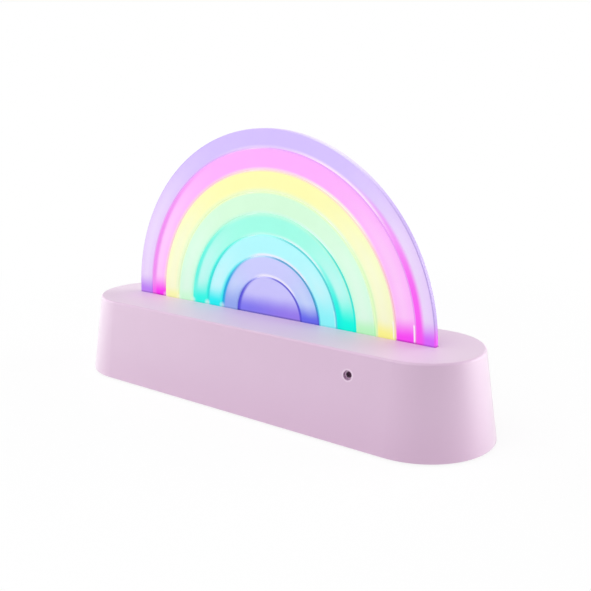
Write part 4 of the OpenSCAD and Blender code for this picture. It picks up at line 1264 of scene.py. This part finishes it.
class LAMP_OT_wires(bpy.types.Operator):
    """Lays the wires inside the housing, and the solder where they join the contact plates"""

    bl_idname = "lamp.wires"
    bl_label = "Wires"

    def execute(self, context):
        for name, node, across, colours, routes in WIRES:
            finish = jacket_finish(name + "_jacket", [linear(*colour) for colour in colours])
            shells = []
            for route in routes:
                path = smooth_route(route)
                sizes = np.full(len(path), WIRE_RADIUS)
                sizes[[0, -1]] *= WIRE_END
                shells.append(tube(path, sizes, across))
            piece(name, shells, finish, "root", node, list(range(len(shells))))
        solder = metal_finish("solder", context.scene.lamp_metal.tin, 0.2)
        piece("solder_drops", [turned(SOLDER_PLACES, SOLDER_DROP)], solder, "root")
        return {"FINISHED"}


# Stage

# Half size of the floor in m, and distances in mm from the lamp over which the matt floor fades in
FLOOR_HALF = 3.0
FLOOR_NEAR = 160.0
FLOOR_FAR = 420.0
# Lamps: name, property of their power, place, aim and diameter in m
LAMPS = [
    ("front", "key", (-0.12, -0.4, 0.9), (0.0, 0.0, 0.05), 0.9),
    ("left_side", "left", (-0.95, -0.1, 0.0), (-0.1, 0.0, 0.03), 1.1),
    ("right_side", "right", (0.74, 0.66, 0.0), (0.1, 0.0, 0.03), 1.05),
]


def seen(made):
    """Share of rays that come straight from the camera, a gloss or a clear body."""
    rays = made.node("ShaderNodeLightPath").outputs
    direct = Term(made, rays["Is Camera Ray"]) + Term(made, rays["Is Glossy Ray"])
    return made.smaller(direct + Term(made, rays["Is Transmission Ray"]), 1.0)


class LAMP_OT_stage(bpy.types.Operator):
    """Sets up the white room, the floor, the lamps and the camera"""

    bl_idname = "lamp.stage"
    bl_label = "Stage"

    def execute(self, context):
        stage = context.scene.lamp_stage
        self.room(context.scene, stage)
        self.floor(context.scene)
        for name, power, place, aim, size in LAMPS:
            self.lamp(context.scene, name, Vector(place), Vector(aim), size, getattr(stage, power))
        self.camera(context.scene, stage)
        context.scene.view_settings.view_transform = "Standard"
        return {"FINISHED"}

    def room(self, scene, stage):
        """White where it is seen, and dimmer where it lights the lamp."""
        made = Finish("white_room", "worlds")
        strength = seen(made) * (1 - stage.ambient) + stage.ambient
        shader = made.node("ShaderNodeBackground", {}, {"Color": (1, 1, 1), "Strength": strength})
        scene.world = made.end(shader, "ShaderNodeOutputWorld")

    def floor(self, scene):
        """Matt pale square that is seen nearly white, and whitest far from the lamp."""
        corner = FLOOR_HALF * np.array([[-1, -1, 0], [1, -1, 0], [1, 1, 0], [-1, 1, 0]])
        mesh = bpy.data.meshes.new("floor")
        mesh.from_pydata(corner.tolist(), [], [(0, 1, 2, 3)])
        floor = bpy.data.objects.new("floor", mesh)
        scene.collection.objects.link(floor)
        made = Finish("pale_floor")
        vector = made.vector()
        x, y, _ = made.parts(vector)
        pale = made.dim((0.96, 0.96, 0.96), made.noise(vector, 2.0) * 0.02 + 0.99)
        matt = made.node("ShaderNodeBsdfDiffuse", {}, {"Color": pale})
        white = made.node("ShaderNodeEmission", {}, {"Color": (1, 1, 1), "Strength": 1.0})
        far = made.rise(made.root(x * x + y * y), FLOOR_NEAR, FLOOR_FAR)
        shown = seen(made) * (far * 0.12 + 0.88)
        mixed = made.node("ShaderNodeMixShader", {}, {0: shown, 1: matt.outputs[0], 2: white.outputs[0]})
        mesh.materials.append(made.end(mixed))

    def lamp(self, scene, name, place, aim, size, power):
        """Round soft lamp turned from its place to its aim."""
        data = bpy.data.lights.new(name, "AREA")
        data.shape = "DISK"
        data.size = size
        data.energy = power
        lamp = bpy.data.objects.new(name, data)
        lamp.location = place
        lamp.rotation_euler = (aim - place).to_track_quat("-Z", "Y").to_euler()
        scene.collection.objects.link(lamp)

    def camera(self, scene, stage):
        """Camera on the sphere round its aim, rolled about its own axis."""
        data = bpy.data.cameras.new("camera")
        data.lens = stage.lens
        data.sensor_width = 36.0
        camera = bpy.data.objects.new("camera", data)
        flat = math.cos(stage.elevation)
        back = Vector((
            math.sin(stage.azimuth) * flat, -math.cos(stage.azimuth) * flat, math.sin(stage.elevation)
        ))
        camera.location = Vector(stage.aim) + back * stage.distance
        camera.rotation_mode = "QUATERNION"
        roll = Quaternion((0, 0, 1), stage.roll)
        camera.rotation_quaternion = (-back).to_track_quat("-Z", "Y") @ roll
        scene.collection.objects.link(camera)
        scene.camera = camera


class LAMP_PT_lamp(bpy.types.Panel):
    """Lists the steps of the lamp"""

    bl_idname = "LAMP_PT_lamp"
    bl_label = "Rainbow lamp"
    bl_space_type = "VIEW_3D"
    bl_region_type = "UI"
    bl_category = "Lamp"

    def draw(self, context):
        for step in STEPS:
            self.layout.operator(step.bl_idname)


STEPS = (
    LAMP_OT_guides, LAMP_OT_housing, LAMP_OT_underside, LAMP_OT_clamp, LAMP_OT_screws, LAMP_OT_lights,
    LAMP_OT_control, LAMP_OT_sound, LAMP_OT_power, LAMP_OT_wires, LAMP_OT_stage,
)
GROUPS = {
    "lamp_light": LAMP_PG_light, "lamp_plastic": LAMP_PG_plastic, "lamp_metal": LAMP_PG_metal,
    "lamp_stage": LAMP_PG_stage,
}
CLASSES = (*GUIDE_GROUPS.values(), *GROUPS.values(), *STEPS, LAMP_PT_lamp)


def register():
    for each in CLASSES:
        bpy.utils.register_class(each)
    for name, group in GROUPS.items():
        setattr(bpy.types.Scene, name, PointerProperty(type=group))


def unregister():
    for name in GROUPS:
        delattr(bpy.types.Scene, name)
    for each in reversed(CLASSES):
        bpy.utils.unregister_class(each)


def main():
    register()
    for step in STEPS:
        space, name = step.bl_idname.split(".")
        getattr(getattr(bpy.ops, space), name)()


if __name__ == "__main__":
    main()
